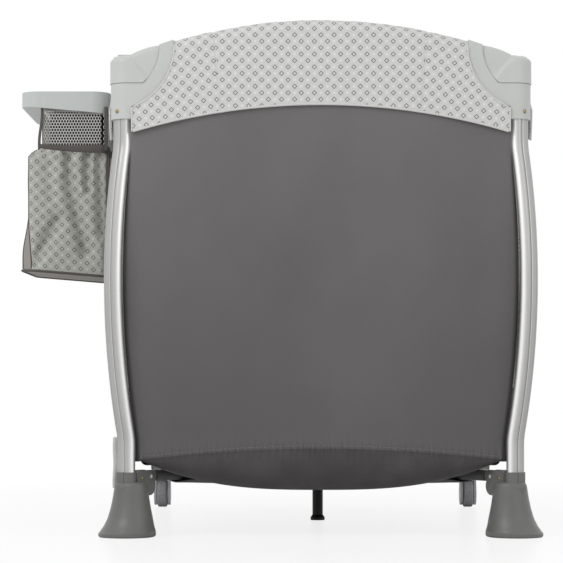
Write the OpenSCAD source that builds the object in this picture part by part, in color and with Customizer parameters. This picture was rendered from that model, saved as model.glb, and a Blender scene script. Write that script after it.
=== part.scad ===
/* [Yard] */
// Distance between the leg axes across a short end, at the corners
leg_span_x = 638; // [600:1:700]
// Distance between the leg axes along a long side, at the corners
leg_span_y = 952; // [880:1:1040]
// Height of the pins that the top rails fold on
rail_pivot_z = 757; // [740:1:790]
// Height of the pins that the floor struts fold on
strut_pivot_z = 97; // [94:1:104]
// Rise of the short ends' rail tubes from their corner pins to mid rail
rail_rise = 52; // [46:1:54]
// Rise of the long sides' rail tubes
rail_rise_long = 36; // [32:1:40]

/* [Legs] */
// Long side of the oval leg tube
leg_wide = 33; // [31:0.5:34]
// Short side of the oval leg tube
leg_deep = 20.5; // [19:0.5:21]
// Wall of the leg tube
leg_wall = 1.6; // [1:0.1:3]
// How far the flat strip along the outer face is raised
strip_raise = 0.8; // [0.5:0.1:1]
// Width of that strip
strip_wide = 11.2; // [9:0.1:12]
// Radius of the long outward bow
bow_radius = 1167; // [1100:1:1250]
// How far the bow stands out from the corner, along the diagonal
bow_out = 19.8; // [14:0.1:21]
// How far the foot stands in from the corner, along each side
leg_in = 6; // [4:0.5:8]
// Height where the bow starts, under the corner
bow_top_z = 628; // [620:1:636]

/* [Corners] */
// Distance from the leg axis to the outer faces of a corner
corner_out = 18.6; // [18:0.1:20]
// Distance from the leg axis to the inner faces of a corner
corner_inside = 16; // [15.8:0.1:16.4]
// Height of the lower end of the leg sleeve
sleeve_z = 670; // [664:1:676]
// Radius of the curved edge that runs from the rail to the leg
wing_radius = 103; // [98:1:108]
// Radius of the seam between bracket and cover
seam_radius = 80; // [74:1:84]
// Height of the centre of both curves over the rail pin
wing_rise = 29; // [27:1:31]
// Distance of the centre of both curves outside the leg axis
wing_back = 19.5; // [18:0.5:21]
// Height of the shoulder over the rail pin
shoulder_rise = 13; // [12:0.5:16]
// Slope of the top of a corner along the short end
wing_slope = 19; // [17:0.5:20]
// Slope of the top of a corner along the long side
side_slope = 11; // [9:0.5:13]
// Drop of the seam on the leg side under the rail pin
seam_drop = 30; // [26:1:32]
// Thickness of the corner covers
cover_wall = 3.2; // [2.8:0.1:3.6]
// Width of the slot that a rail folds in
rail_slot = 22; // [21.4:0.1:23]
// Radius of the upright outer edge of a corner
corner_round = 26; // [22:1:27]
// Distance from the leg axis to a rail's corner pin
pivot_in = 29; // [28:0.5:31]

/* [Rails] */
// Diameter of the rail tubes
rail_d = 20; // [18:0.5:20.5]
// Wall of the rail tubes
rail_wall = 1.5; // [1:0.1:3]
// Distance from mid rail to the pins of its latch
latch_half = 66; // [64:1:72]
// Distance from mid rail to the inner end of each tube
rail_stop = 50; // [46:1:56]
// Diameter of every fold pin
pin_d = 6; // [5:0.1:7]
// Width of a latch over its two cheeks
latch_wide = 27; // [26:0.1:29]
// Thickness of the latch cheeks and floor
latch_wall = 3; // [2.5:0.1:3.2]
// Radius of the latch round its pins
latch_round = 12; // [9:0.5:13]
// Depth of the latch under its pins
latch_drop = 24; // [22:0.5:30]
// Length of the latch button
button_long = 34; // [26:0.5:44]
// Width of the latch button
button_wide = 16; // [14:0.5:18]
// Stroke of the latch button
button_stroke = 5; // [3:0.5:6]

/* [Floor frame] */
// Diameter of the strut tubes
strut_d = 18; // [14:0.5:18]
// Wall of the strut tubes
strut_wall = 1.5; // [1:0.1:3]
// Width of the flat strut ends
tongue_wide = 12; // [9:0.5:13]
// Thickness of the fork cheeks on hub and feet
fork_wall = 4; // [3:0.5:5]
// Distance from the leg foot axis to the strut pin, along each side
ear_reach = 32; // [30:0.5:34]
// Half width of the hub block
hub_half = 46; // [42:0.5:47]
// Height of the hub block
hub_tall = 29; // [27:0.5:33]
// Diameter of the leg under the hub
centre_leg_d = 19; // [16:0.5:24]
// Diameter of the pad under that leg
centre_pad_d = 26; // [24:0.5:34]

/* [Feet and wheels] */
// Diameter of the front feet at the floor
foot_d = 90; // [84:1:100]
// Diameter of the front feet under the collar
foot_neck_d = 38; // [37.5:0.5:41]
// Height of the front feet under the collar
foot_tall = 84; // [78:1:86]
// Height of the collar round the leg
collar_tall = 20; // [16:1:22]
// Height of the foot's straight rim
foot_rim = 6; // [5:0.5:10]
// Depth of the hollow curve of the front feet
foot_hollow = 8.5; // [5:0.5:10]
// Wall of the collar round the leg
collar_wall = 2; // [1.5:0.1:2.6]
// Diameter of the rear wheels
wheel_d = 56; // [50:1:60]
// Width of the rear wheels
wheel_wide = 20; // [16:0.5:22]
// Wall of the wheel forks
wheel_fork = 5; // [4:0.5:7]

/* [Soft goods] */
// Outer radius of the padded rail covers
pad_radius = 20; // [19.8:0.1:21]
// Thickness of the rail covers
pad_wall = 4; // [3:0.1:4.4]
// Height of the cover's lower edge at mid end
band_z = 693; // [680:1:700]
// Radius of the cover's lower edge on the short ends
band_radius = 1060; // [900:10:1300]
// Radius of the cover's lower edge on the long sides
band_radius_long = 2400; // [2000:50:3000]
// Thickness of the wall cloth
cloth = 2; // [1.5:0.1:2.4]
// Lowest point of the end cloth under the floor
belly_z = 73; // [70:1:76]
// Height of the end cloth's lower edge at the corners
belly_end_z = 118; // [114:1:124]
// Inward lean of the walls from the top cover to the floor
wall_lean = 26; // [22:1:28]
// Distance from the leg axis to the edge of the wall cloth
wall_edge = 15.2; // [15:0.1:16]
// Pitch of the net in the long sides
net_pitch = 50; // [44:1:60]
// Thickness of the mattress
mattress_tall = 22; // [16:1:30]
// Gap between mattress and walls
mattress_gap = 18; // [14:1:30]

/* [Organizer] */
// Length of the side tray along the rail
tray_long = 260; // [220:1:270]
// Width of the side tray
tray_wide = 149; // [120:1:170]
// Depth of the side tray
tray_tall = 37; // [28:1:44]
// How much shallower the tray is at its outer side
tray_taper = 13; // [8:1:16]
// Distance of the tray under the rail pins
tray_drop = 20; // [16:1:30]
// Distance of the tray from the leg axis
tray_off = 34; // [33.5:0.5:40]
// Distance of the tray's near end from the leg axis
tray_back = 146; // [140:1:160]
// Wall of the side tray
tray_wall = 3; // [2:0.1:4]
// Width of each rail hook
hook_wide = 26; // [18:1:34]
// Length of the inner lip of a rail hook
hook_drop = 22; // [20:1:26]
// Height of the open net under the tray
net_tall = 52; // [40:1:70]
// Width of that net, out from the rail
net_wide = 110; // [100:1:130]
// Height of the cloth bag under the net
bag_tall = 205; // [150:1:230]

/* [Hidden] */
$fn = 64;
slack = 0.3;
run = 0.05;
leg_x = leg_span_x / 2;
leg_y = leg_span_y / 2;
reach_x = leg_x - pivot_in - latch_half;
reach_y = leg_y - pivot_in - latch_half;
strut_len = sqrt(reach_x * reach_x + reach_y * reach_y);
strut_turn = atan2(reach_y, reach_x);
hub_pivot = pivot_in + latch_half - leg_in - ear_reach;
foot_pivot = leg_in + ear_reach;
pin_r = pin_d / 2;
bore_r = pin_r + run;
leg_half = (leg_wide - leg_deep) / 2;
foot_inset = leg_in * sqrt(2);
bend_top = acos(1 - bow_out / bow_radius);
bend_low = acos(1 - (bow_out + foot_inset) / bow_radius);
bow_mid_z = bow_top_z - bow_radius * sin(bend_top);
bow_low_z = bow_mid_z - bow_radius * sin(bend_low);
leg_head = 17;
leg_top_z = rail_pivot_z - leg_head;
leg_end_z = 20;
wheel_roof_z = wheel_d + 2;
rear_end_z = wheel_roof_z + 4;
wing_z = rail_pivot_z + wing_rise;
shoulder_z = rail_pivot_z + shoulder_rise;
seam_z = rail_pivot_z - seam_drop;
seam_gap = 0.3;
slot_in = corner_inside + 1;
boss_r = rail_d / 2;
rail_half_wide = rail_d / 2;
arch_x = (pow(leg_x - pivot_in, 2) + rail_rise * rail_rise) / (2 * rail_rise);
arch_y = (pow(leg_y - pivot_in, 2) + rail_rise_long * rail_rise_long) / (2 * rail_rise_long);
crown_x = rail_pivot_z + rail_rise;
crown_y = rail_pivot_z + rail_rise_long;
tongue_r = strut_d / 2;
fork_in = tongue_wide / 2 + slack;
fork_out = fork_in + fork_wall;
fork_r = tongue_r + 1;
hub_over = 16.5;
hub_top = strut_pivot_z + hub_over;
hub_low = hub_top - hub_tall;
wheel_r = wheel_d / 2;
wheel_gap = 1.2;
wheel_half = wheel_wide / 2 + wheel_gap;
wheel_axle_z = wheel_r;
cheek_d = wheel_d - 8;
pad_in = pad_radius - pad_wall;
band_long_drop = 8;
band_long_z = band_z - band_long_drop;
wall_top_v = -pad_radius + cloth;
seat_z = hub_top + slack;
tray_x = -(leg_x + tray_off);
tray_y = -(leg_y - tray_back);
tray_top = rail_pivot_z - tray_drop;
tray_low = tray_top - tray_tall;
net_low = tray_low - net_tall;
bag_low = net_low - bag_tall;
hook_in = pad_radius + slack;
tray_tilt = atan(tray_taper / tray_wide);
bag_inset = 4;
fork_half = wheel_half + wheel_fork;
handle_half = hub_half * 0.72;
handle_wide = 18;
handle_tall = 4;
bow_steps = 12;
round_steps = 8;
arch_fn = 720;
edge_fn = 1440;

// Places a corner: u and v run inward from the leg axis, along X and Y
module corner(sx, sy) {
  translate([sx * leg_x, sy * leg_y, 0])
    mirror([sx > 0 ? 1 : 0, 0, 0])
      mirror([0, sy > 0 ? 1 : 0, 0])
        children();
}

// Places a rail: x runs along it from mid rail, +y looks into the yard
module end_rail(sy) {
  translate([0, sy * leg_y, 0])
    mirror([0, sy > 0 ? 1 : 0, 0])
      children();
}

module side_rail(sx) {
  translate([sx * leg_x, 0, 0])
    mirror([sx > 0 ? 1 : 0, 0, 0])
      mirror([1, -1, 0])
        children();
}

// Draws for the short end of a corner, or for its long side, with that side's slope
module on_end() {
  $slope = wing_slope;
  children();
}

module on_side() {
  $slope = side_slope;
  mirror([1, -1, 0])
    children();
}

// Swaps the two sides of a corner
module both_sides() {
  children();
  mirror([1, -1, 0])
    children();
}

// Stands a flat outline in x and z upright, with a range along y
module upright(from, to) {
  translate([0, to, 0])
    rotate([90, 0, 0])
      linear_extrude(to - from)
        children();
}

// Cylinder along y
module cross_pin(x, z, r, from, to) {
  translate([x, from, z])
    rotate([-90, 0, 0])
      cylinder(r = r, h = to - from);
}

// Oval of the leg tube, short side along x
module leg_oval(grow) {
  square([leg_deep + 2 * grow, 2 * leg_half], center = true);
  for (s = [-1, 1])
    translate([0, s * leg_half])
      circle(r = leg_deep / 2 + grow);
}

// Turns the diagonal that runs out of the corner to +x
module diagonal() {
  rotate([0, 0, 225])
    children();
}

// Outer section of the leg with the raised strip on its outer face
module leg_section(grow) {
  leg_oval(grow);
  translate([0, -strip_wide / 2 - grow])
    square([leg_deep / 2 + strip_raise + grow, strip_wide + 2 * grow]);
}

// Outward position of the leg axis along the diagonal, at a height
function leg_q(z) =
  z > bow_top_z ? 0
  : z > bow_low_z ? bow_out - bow_radius + sqrt(pow(bow_radius, 2) - pow(z - bow_mid_z, 2))
  : -foot_inset;
function leg_u(z) = -leg_q(z) / sqrt(2);

// Level ring round the leg at a height: two half rounds and the raised strip between them
function half_round(r, side) = [
  for (i = [0:round_steps])
    let (a = 90 - 90 * side + 180 * i / round_steps)
      [r * cos(a), side * leg_half + r * sin(a)]
];
function leg_ring(grow, raise, z) = [
  for (p = concat(
    half_round(leg_deep / 2 + grow, 1),
    half_round(leg_deep / 2 + grow, -1),
    [for (t = [-1, -0.9, 0.9, 1]) [leg_deep / 2 + grow + (abs(t) < 1 ? raise : 0), t * strip_wide / 2]]
  ))
    [p[0] + leg_q(z), p[1], z]
];

// Hollow leg tube: straight ends and the outward bow, swept from level rings
module leg_tube(end_z) {
  bow = [for (i = [0:bow_steps]) bow_low_z + (bow_top_z - bow_low_z) * i / bow_steps];
  heights = concat([end_z], bow, [leg_top_z]);
  last = len(heights) - 1;
  outer = [for (z = heights) each leg_ring(0, strip_raise, z)];
  inner = [for (z = heights) each leg_ring(-leg_wall, 0, z)];
  n = len(outer) / len(heights);
  in = len(outer);
  sides = [
    for (k = [0:last - 1], j = [0:n - 1])
      let (a = k * n + j, b = k * n + (j + 1) % n)
        each [[a, a + n, b + n, b], [in + a, in + b, in + b + n, in + a + n]]
  ];
  ends = [
    for (j = [0:n - 1])
      let (i = (j + 1) % n, t = last * n)
        each [[j, i, in + i, in + j], [t + j, in + t + j, in + t + i, t + i]]
  ];
  color("silver")
    diagonal()
      polyhedron(points = concat(outer, inner), faces = concat(sides, ends));
}

// Plan of a corner with its rounded outer edge
module corner_plan(inset) {
  edge = -corner_out + inset;
  translate([edge + corner_round, edge])
    square(2 * wing_radius);
  translate([edge, edge + corner_round])
    square(2 * wing_radius);
  translate([edge + corner_round, edge + corner_round])
    circle(r = corner_round);
}

// Height of a corner's sloping top over a distance from the leg axis
function wing_top(u, slope) = shoulder_z + (u - pivot_in / 4) * tan(slope);

// Side outline of a corner between its sleeve and its sloping top
module wing_outline(inset, radius) {
  lift = inset / cos($slope);
  edge = -corner_out + inset;
  intersection() {
    translate([-wing_back, wing_z])
      circle(r = radius);
    polygon([
      [edge, sleeve_z],
      [2 * wing_radius, sleeve_z],
      [2 * wing_radius, wing_top(2 * wing_radius, $slope) - lift],
      [pivot_in / 4, shoulder_z - lift],
      [edge + 12, shoulder_z - lift],
      [edge + 7, shoulder_z - 2 - lift],
      [edge + 4, shoulder_z - 6 - lift],
      [edge + 2, shoulder_z - 14 - lift],
      [edge, seam_z]
    ]);
  }
}

// The part of that outline over the seam
module over_seam(gap) {
  intersection() {
    translate([-wing_back, wing_z])
      circle(r = seam_radius - gap);
    translate([-2 * corner_out, seam_z + gap])
      square([3 * wing_radius, wing_radius]);
  }
}

// One solid round a corner from a side outline, with both wings
module corner_solid(inset) {
  intersection() {
    union() {
      on_end()
        upright(-corner_out + inset, corner_inside - inset)
          children();
      on_side()
        upright(-corner_out + inset, corner_inside - inset)
          children();
    }
    translate([0, 0, sleeve_z - 1])
      linear_extrude(2 * wing_radius)
        corner_plan(inset);
  }
}

module rail_way() {
  under = cover_wall / cos($slope) + slack;
  upright(-rail_slot / 2, rail_slot / 2)
    polygon([
      [slot_in, sleeve_z - 1],
      [2 * wing_radius, sleeve_z - 1],
      [2 * wing_radius, wing_top(2 * wing_radius, $slope) - under],
      [slot_in, wing_top(slot_in, $slope) - under]
    ]);
}

module rail_slots() {
  on_end()
    rail_way();
  on_side()
    rail_way();
}

module leg_pocket(grow, from, to) {
  translate([0, 0, from])
    linear_extrude(to - from)
      rotate(225)
        leg_section(grow);
}

module corner_bracket() {
  core = cover_wall + slack / 2;
  color("darkgray")
    difference() {
      union() {
        corner_solid(0) {
          difference() {
            wing_outline(0, wing_radius);
            over_seam(-seam_gap);
          }
        }
        corner_solid(0)
          translate([-corner_out, sleeve_z])
            square([corner_out + corner_inside, seam_z - seam_gap - sleeve_z]);
        corner_solid(core)
          wing_outline(core, seam_radius + 1);
      }
      rail_slots();
      leg_pocket(slack / 2, sleeve_z - 2, leg_top_z + slack);
      both_sides()
        cross_pin(pivot_in, rail_pivot_z, bore_r, -corner_out - 1, corner_inside + 1);
    }
}

module corner_cover() {
  color("lightgray")
    difference() {
      corner_solid(0)
        intersection() {
          wing_outline(0, wing_radius);
          over_seam(seam_gap);
        }
      corner_solid(cover_wall)
        wing_outline(cover_wall, wing_radius);
      leg_pocket(slack / 2, sleeve_z - 2, leg_top_z + slack);
      both_sides()
        upright(-rail_slot / 2, rail_slot / 2)
          translate([slot_in, sleeve_z])
            square([2 * wing_radius, rail_pivot_z - sleeve_z]);
    }
}

// Fork along x at a pin: two cheeks in front of a solid root that reaches back by a length
module fork(back) {
  root = fork_r + 2;
  difference() {
    union() {
      translate([-back, -fork_out, -fork_r])
        cube([back - root, 2 * fork_out, 2 * fork_r]);
      fork_cheeks(root + 1);
    }
    cross_pin(0, 0, bore_r, -fork_out - 1, fork_out + 1);
  }
}

module fork_cheeks(back) {
  for (s = [-1, 1])
    translate([0, s * (fork_in + fork_out) / 2, 0]) {
      translate([-back, -fork_wall / 2, -fork_r])
        cube([back, fork_wall, 2 * fork_r]);
      rotate([90, 0, 0])
        cylinder(r = fork_r, h = fork_wall, center = true);
    }
}

// Places the strut pin of a foot, with x along the strut toward the hub
module at_foot_pin() {
  translate([foot_pivot, foot_pivot, strut_pivot_z])
    rotate([0, 0, strut_turn])
      children();
}

module foot_axis() {
  translate([leg_in, leg_in, 0])
    children();
}

// Collar round the leg and the fork for the strut, less the leg itself
module leg_collar(end_z) {
  difference() {
    union() {
      foot_axis()
        leg_pocket(collar_wall, foot_tall - 1, foot_tall + collar_tall);
      at_foot_pin()
        fork(ear_reach + 8);
      children();
    }
    foot_axis()
      leg_pocket(slack / 2, end_z, bow_low_z);
  }
}

// Half section of the bell foot, with the hollow curve of its side
module bell_section() {
  low = [foot_d / 2, foot_rim];
  high = [foot_neck_d / 2, foot_tall - 4];
  run_up = high - low;
  chord = norm(run_up);
  curve = (pow(chord / 2, 2) + pow(foot_hollow, 2)) / (2 * foot_hollow);
  out = [run_up[1], -run_up[0]] / chord;
  difference() {
    polygon([
      [0, 0], [low[0] - 2, 0], [low[0], 2], low,
      high, [high[0] - 1, foot_tall], [0, foot_tall]
    ]);
    translate((low + high) / 2 + out * (curve - foot_hollow))
      circle(r = curve, $fn = 128);
  }
}

// Rounded cheeks that run from the strut pin down into the foot
module ear_web() {
  web_r = fork_r * 1.5;
  web_z = -fork_r * 1.6;
  for (s = [-1, 1])
    translate([-web_r / 2, s * (fork_in + fork_out) / 2, web_z])
      rotate([90, 0, 0]) {
        cylinder(r = web_r, h = fork_wall, center = true);
        translate([-ear_reach / 2, 0, 0])
          cube([ear_reach, 2 * web_r, fork_wall], center = true);
      }
}

module front_foot() {
  color("dimgray")
    leg_collar(leg_end_z) {
      foot_axis()
        rotate_extrude()
          bell_section();
      at_foot_pin()
        difference() {
          ear_web();
          cross_pin(0, 0, bore_r, -fork_out - 1, fork_out + 1);
        }
    }
}

module wheel_fork() {
  color("dimgray")
    leg_collar(rear_end_z)
      foot_axis()
        difference() {
          union() {
            translate([-fork_half, -leg_wide / 2, wheel_axle_z])
              cube([2 * fork_half, leg_wide, foot_tall - wheel_axle_z]);
            translate([-fork_half, 0, wheel_axle_z])
              rotate([0, 90, 0])
                cylinder(d = cheek_d, h = 2 * fork_half);
          }
          translate([-wheel_half, -wheel_d, -1])
            cube([2 * wheel_half, 2 * wheel_d, wheel_roof_z + 1]);
          translate([-fork_half - 1, 0, wheel_axle_z])
            rotate([0, 90, 0])
              cylinder(r = bore_r, h = 2 * fork_half + 2);
        }
}

// Tyre, rim and hub of a rear wheel as one section
module wheel_section() {
  half = wheel_wide / 2;
  rim = wheel_r * 0.72;
  difference() {
    union() {
      translate([bore_r, -half])
        square([wheel_r - bore_r - 4, wheel_wide]);
      translate([wheel_r - 5, -half + 4])
        square([5, wheel_wide - 8]);
      for (s = [-1, 1])
        translate([wheel_r - 4, s * (half - 4)])
          circle(r = 4);
    }
    for (s = [-1, 1])
      translate([(rim + 8) / 2, s * half])
        square([rim - 8, 6], center = true);
  }
}

module rear_wheel() {
  color("darkslategray")
    foot_axis()
      translate([0, 0, wheel_axle_z])
        rotate([0, 90, 0])
          rotate_extrude()
            wheel_section();
}

// Rail pins, strut pin and, at the rear, the wheel axle of one leg
module leg_pins(with_axle) {
  core = cover_wall + slack / 2;
  color("goldenrod") {
    both_sides()
      cross_pin(pivot_in, rail_pivot_z, pin_r, -corner_out + core, corner_inside - core);
    at_foot_pin()
      cross_pin(0, 0, pin_r, -fork_out, fork_out);
    if (with_axle)
      foot_axis()
        translate([-fork_half, 0, wheel_axle_z])
          rotate([0, 90, 0])
            cylinder(r = pin_r, h = 2 * fork_half);
  }
}

// Half a rail on the -x side: arched tube, corner eye and the drop end that carries its latch pin
module half_rail(span, arch, crown) {
  from = asin(rail_stop / arch);
  to = asin((span - pivot_in) / arch);
  drop_top = crown - boss_r / 2;
  color("gray")
    difference() {
      union() {
        translate([0, 0, crown - arch])
          rotate([90, 0, 0])
            rotate([0, 0, 90 + from])
              rotate_extrude(angle = to - from, $fn = arch_fn)
                translate([arch, 0])
                  difference() {
                    circle(r = boss_r);
                    circle(r = boss_r - rail_wall);
                  }
        cross_pin(-(span - pivot_in), rail_pivot_z, boss_r, -rail_half_wide, rail_half_wide);
        cross_pin(-latch_half, rail_pivot_z, boss_r, -rail_half_wide, rail_half_wide);
        translate([-latch_half - boss_r, -boss_r * 0.7, rail_pivot_z])
          cube([2 * boss_r, boss_r * 1.4, drop_top - rail_pivot_z]);
      }
      cross_pin(-(span - pivot_in), rail_pivot_z, bore_r, -rail_d, rail_d);
      cross_pin(-latch_half, rail_pivot_z, bore_r, -rail_d, rail_d);
    }
}

module end_half() {
  half_rail(leg_x, arch_x, crown_x);
}

module side_half() {
  half_rail(leg_y, arch_y, crown_y);
}

// Latch at mid rail: two cheeks, a floor with the button's hole, and the two pins
module rail_latch() {
  half = latch_wide / 2;
  inner = half - latch_wall;
  floor_z = rail_pivot_z - latch_drop;
  color("dimgray")
    difference() {
      union() {
        difference() {
          union() {
            for (s = [-1, 1])
              cross_pin(s * latch_half, rail_pivot_z, latch_round, -half, half);
            translate([-latch_half, -half, rail_pivot_z - latch_round])
              cube([2 * latch_half, latch_wide, latch_round]);
            translate([-latch_half + 6, -half, floor_z])
              cube([2 * latch_half - 12, latch_wide, latch_drop]);
          }
          translate([-2 * latch_half, -inner, floor_z + latch_wall])
            cube([4 * latch_half, 2 * inner, 2 * latch_drop]);
        }
        for (s = [-1, 1])
          cross_pin(s * latch_half, rail_pivot_z, pin_r, -half, half);
      }
      translate([-button_long / 2 + 2, -button_wide / 2 + 2, floor_z - 1])
        cube([button_long - 4, button_wide - 4, latch_wall + 2]);
    }
}

module latch_button() {
  floor_z = rail_pivot_z - latch_drop;
  stem = [button_long - 4 - 2 * slack, button_wide - 4 - 2 * slack];
  pad_top = floor_z - button_stroke - 1;
  flange = floor_z + latch_wall + slack;
  color("slategray") {
    translate([-button_long / 2, -button_wide / 2, flange])
      cube([button_long, button_wide, 2.5]);
    translate([-stem[0] / 2, -stem[1] / 2, pad_top - 1])
      cube([stem[0], stem[1], flange - pad_top + 2]);
    intersection() {
      translate([-button_long / 2 - 3, -button_wide / 2 - 1, pad_top - 5])
        cube([button_long + 6, button_wide + 2, 5]);
      cross_pin(0, pad_top - 5 + button_long, button_long, -button_wide, button_wide);
    }
  }
}

// Strut from the hub pin along +x: tube between two flat eyes
module strut_bar() {
  color("dimgray")
    difference() {
      union() {
        translate([tongue_r * 2, 0, 0])
          rotate([0, 90, 0])
            difference() {
              cylinder(r = tongue_r, h = strut_len - 4 * tongue_r);
              translate([0, 0, tongue_r])
                cylinder(r = tongue_r - strut_wall, h = strut_len - 6 * tongue_r);
            }
        for (x = [0, strut_len])
          cross_pin(x, 0, tongue_r, -tongue_wide / 2, tongue_wide / 2);
        for (x = [0, strut_len - 3 * tongue_r])
          translate([x, -tongue_wide / 2, -tongue_r + 1])
            cube([3 * tongue_r, tongue_wide, 2 * tongue_r - 2]);
      }
      for (x = [0, strut_len])
        cross_pin(x, 0, bore_r, -tongue_wide, tongue_wide);
    }
}

// Places a strut at its hub pin, with x out to the foot
module at_hub_pin(sx, sy) {
  translate([sx * hub_pivot, sy * hub_pivot, strut_pivot_z])
    mirror([sx < 0 ? 1 : 0, 0, 0])
      mirror([0, sy < 0 ? 1 : 0, 0])
        rotate([0, 0, strut_turn])
          children();
}

module rounded_square(half_x, half_y, r) {
  square([2 * half_x, 2 * (half_y - r)], center = true);
  square([2 * (half_x - r), 2 * half_y], center = true);
  for (x = [-1, 1], y = [-1, 1])
    translate([x * (half_x - r), y * (half_y - r)])
      circle(r = r);
}

module hub() {
  well = handle_half - 8;
  color("dimgray")
    difference() {
      union() {
        translate([0, 0, hub_low])
          linear_extrude(hub_tall)
            rounded_square(hub_half, hub_half, 12);
        for (sx = [-1, 1], sy = [-1, 1])
          at_hub_pin(sx, sy)
            fork(hub_pivot - hub_half + 22);
      }
      translate([0, 0, hub_top - 14])
        cylinder(r = well, h = 20);
      translate([-handle_half - slack, -handle_wide / 2 - slack, hub_top - handle_tall])
        cube([2 * (handle_half + slack), handle_wide + 2 * slack, 2 * handle_tall]);
      translate([0, 0, hub_low - 1])
        cylinder(d = centre_leg_d + slack, h = 9);
    }
}

module hub_handle() {
  color("darkgray")
    translate([0, 0, hub_top - handle_tall])
      linear_extrude(handle_tall)
        rounded_square(handle_half, handle_wide / 2, 6);
}

module hub_pins() {
  color("goldenrod")
    for (sx = [-1, 1], sy = [-1, 1])
      at_hub_pin(sx, sy)
        cross_pin(0, 0, pin_r, -fork_out, fork_out);
}

module centre_leg() {
  color("black")
    rotate_extrude()
      polygon([
        [0, 0], [centre_pad_d / 2 - 1, 0], [centre_pad_d / 2, 1], [centre_pad_d / 2, 5],
        [centre_leg_d / 2, 10], [centre_leg_d / 2, hub_low + 8], [0, hub_low + 8]
      ]);
}

// Round end with a straight strip running inward from its middle
module hanging_strip(at, radius, long) {
  half = radius - slack / 10;
  union() {
    translate([at, 0])
      circle(r = radius);
    translate([at - long, -half])
      square([long, 2 * half]);
  }
}

// Padded cover of a rail: a rounded top with a cloth skirt on both sides, cut round the corners
module rail_cover(span, arch, crown, low_z, low_radius) {
  reach = span - slot_in;
  deep = crown - low_z + pad_radius + span * span / (2 * low_radius);
  turn = asin(reach / (arch - deep));
  wide = 3 * pad_radius;
  color("gainsboro")
    difference() {
      translate([0, 0, crown - arch])
        rotate([90, 0, 0])
          rotate([0, 0, 90 - turn])
            rotate_extrude(angle = 2 * turn, $fn = arch_fn)
              difference() {
                hanging_strip(arch, pad_radius, deep);
                hanging_strip(arch, pad_in, 2 * deep);
              }
      cross_pin(0, low_z - low_radius, low_radius, -wide, wide, $fn = edge_fn);
      for (s = [0, 1])
        mirror([s, 0, 0]) {
          cross_pin(span + wing_back, wing_z, wing_radius + 4 * slack, -wide, wide, $fn = 180);
          translate([span + deep - slot_in, 0, low_z])
            cube([2 * deep, 2 * wide, 4 * deep], center = true);
          translate([span, wide, low_z])
            cube([2 * pad_radius + 2, 2 * wide, 4 * deep], center = true);
        }
    }
}

module end_cover() {
  rail_cover(leg_x, arch_x, crown_x, band_z, band_radius);
}

module side_cover() {
  rail_cover(leg_y, arch_y, crown_y, band_long_z, band_radius_long);
}

// Height of the wall cloth's lower edge at a distance from the middle
function belly(x, span) =
  belly_z + (belly_end_z - belly_z) * pow(abs(x) / (span - pad_radius), 2.4);

// Flat wall outline: legs at both sides, cover above, hanging edge below
module wall_outline(span, low_z, low_radius) {
  steps = 14;
  edge_low = belly_end_z;
  edge_top = low_z - low_radius + sqrt(pow(low_radius, 2) - pow(span, 2)) + 4;
  heights = [for (i = [0:steps]) edge_low + (edge_top - edge_low) * i / steps];
  side = [for (z = heights) [span - leg_u(z) - wall_edge, z]];
  over = [[span - slot_in - 4, crown_x], [-span + slot_in + 4, crown_x]];
  left = [for (i = [steps:-1:0]) [-side[i][0], side[i][1]]];
  end_x = side[0][0];
  spots = [for (i = [1:steps - 1]) -end_x + 2 * end_x * i / steps];
  under = [for (x = spots) [x, belly(x, end_x + pad_radius)]];
  intersection() {
    polygon(concat(side, over, left, under));
    translate([0, low_z - low_radius])
      circle(r = low_radius - slack, $fn = edge_fn);
  }
}

// Leans a wall inward from the lower edge of its cover
module lean_wall() {
  tall = band_z - belly_end_z;
  translate([0, wall_top_v, band_z])
    rotate([atan(wall_lean / tall), 0, 0])
      translate([0, 0, -band_z])
        upright(-cloth, 0)
          children();
}

module end_panel() {
  color("dimgray")
    lean_wall()
      wall_outline(leg_x, band_z, band_radius);
}

// Place along a net of a hole, with every other row moved by half a pitch
function net_shift(i, j, pitch) = (i + (j % 2) / 2 - 0.25) * pitch;

// Side wall with its net window
module mesh_side() {
  row = net_pitch * sqrt(3) / 2;
  rows = 7;
  cols = 15;
  base = belly_end_z + 130;
  color("gainsboro")
    lean_wall()
      difference() {
        wall_outline(leg_y, band_long_z, band_radius_long);
        for (j = [0:rows], i = [-cols / 2:cols / 2])
          translate([net_shift(i, j, net_pitch), base + j * row])
            circle(d = net_pitch * 0.86, $fn = 6);
      }
}

module floor_sling() {
  half_x = leg_x - pad_radius;
  half_y = leg_y - pad_radius;
  cut = foot_d + foot_pivot;
  color("dimgray")
    translate([0, 0, belly_z - slack - cloth - 1])
      linear_extrude(cloth)
        difference() {
          polygon([
            [half_x, -half_y + cut], [half_x, half_y - cut],
            [half_x - cut, half_y], [-half_x + cut, half_y],
            [-half_x, half_y - cut], [-half_x, -half_y + cut],
            [-half_x + cut, -half_y], [half_x - cut, -half_y]
          ]);
          circle(d = centre_leg_d + 2 * slack);
        }
}

// Mattress of four folding panels with a soft edge
module mattress() {
  half_x = leg_x - leg_in - mattress_gap;
  half_y = leg_y - leg_in - mattress_gap;
  soft = mattress_tall * 0.3;
  fold = mattress_tall * 0.3;
  color("gray")
    difference() {
      union() {
        translate([0, 0, seat_z + soft])
          linear_extrude(mattress_tall - 2 * soft)
            rounded_square(half_x, half_y, 40);
        translate([0, 0, seat_z])
          linear_extrude(mattress_tall)
            rounded_square(half_x - soft, half_y - soft, 40);
      }
      for (i = [-1:1])
        translate([-2 * half_x, i * half_y / 2, seat_z + mattress_tall + fold * 0.3])
          rotate([0, 90, 0])
            cylinder(r = fold, h = 4 * half_x);
    }
}

// Places the organizer: x runs out from its inner wall, y runs back from its near end
module organizer() {
  translate([tray_x, tray_y, 0])
    mirror([1, 0, 0])
      children();
}

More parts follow.
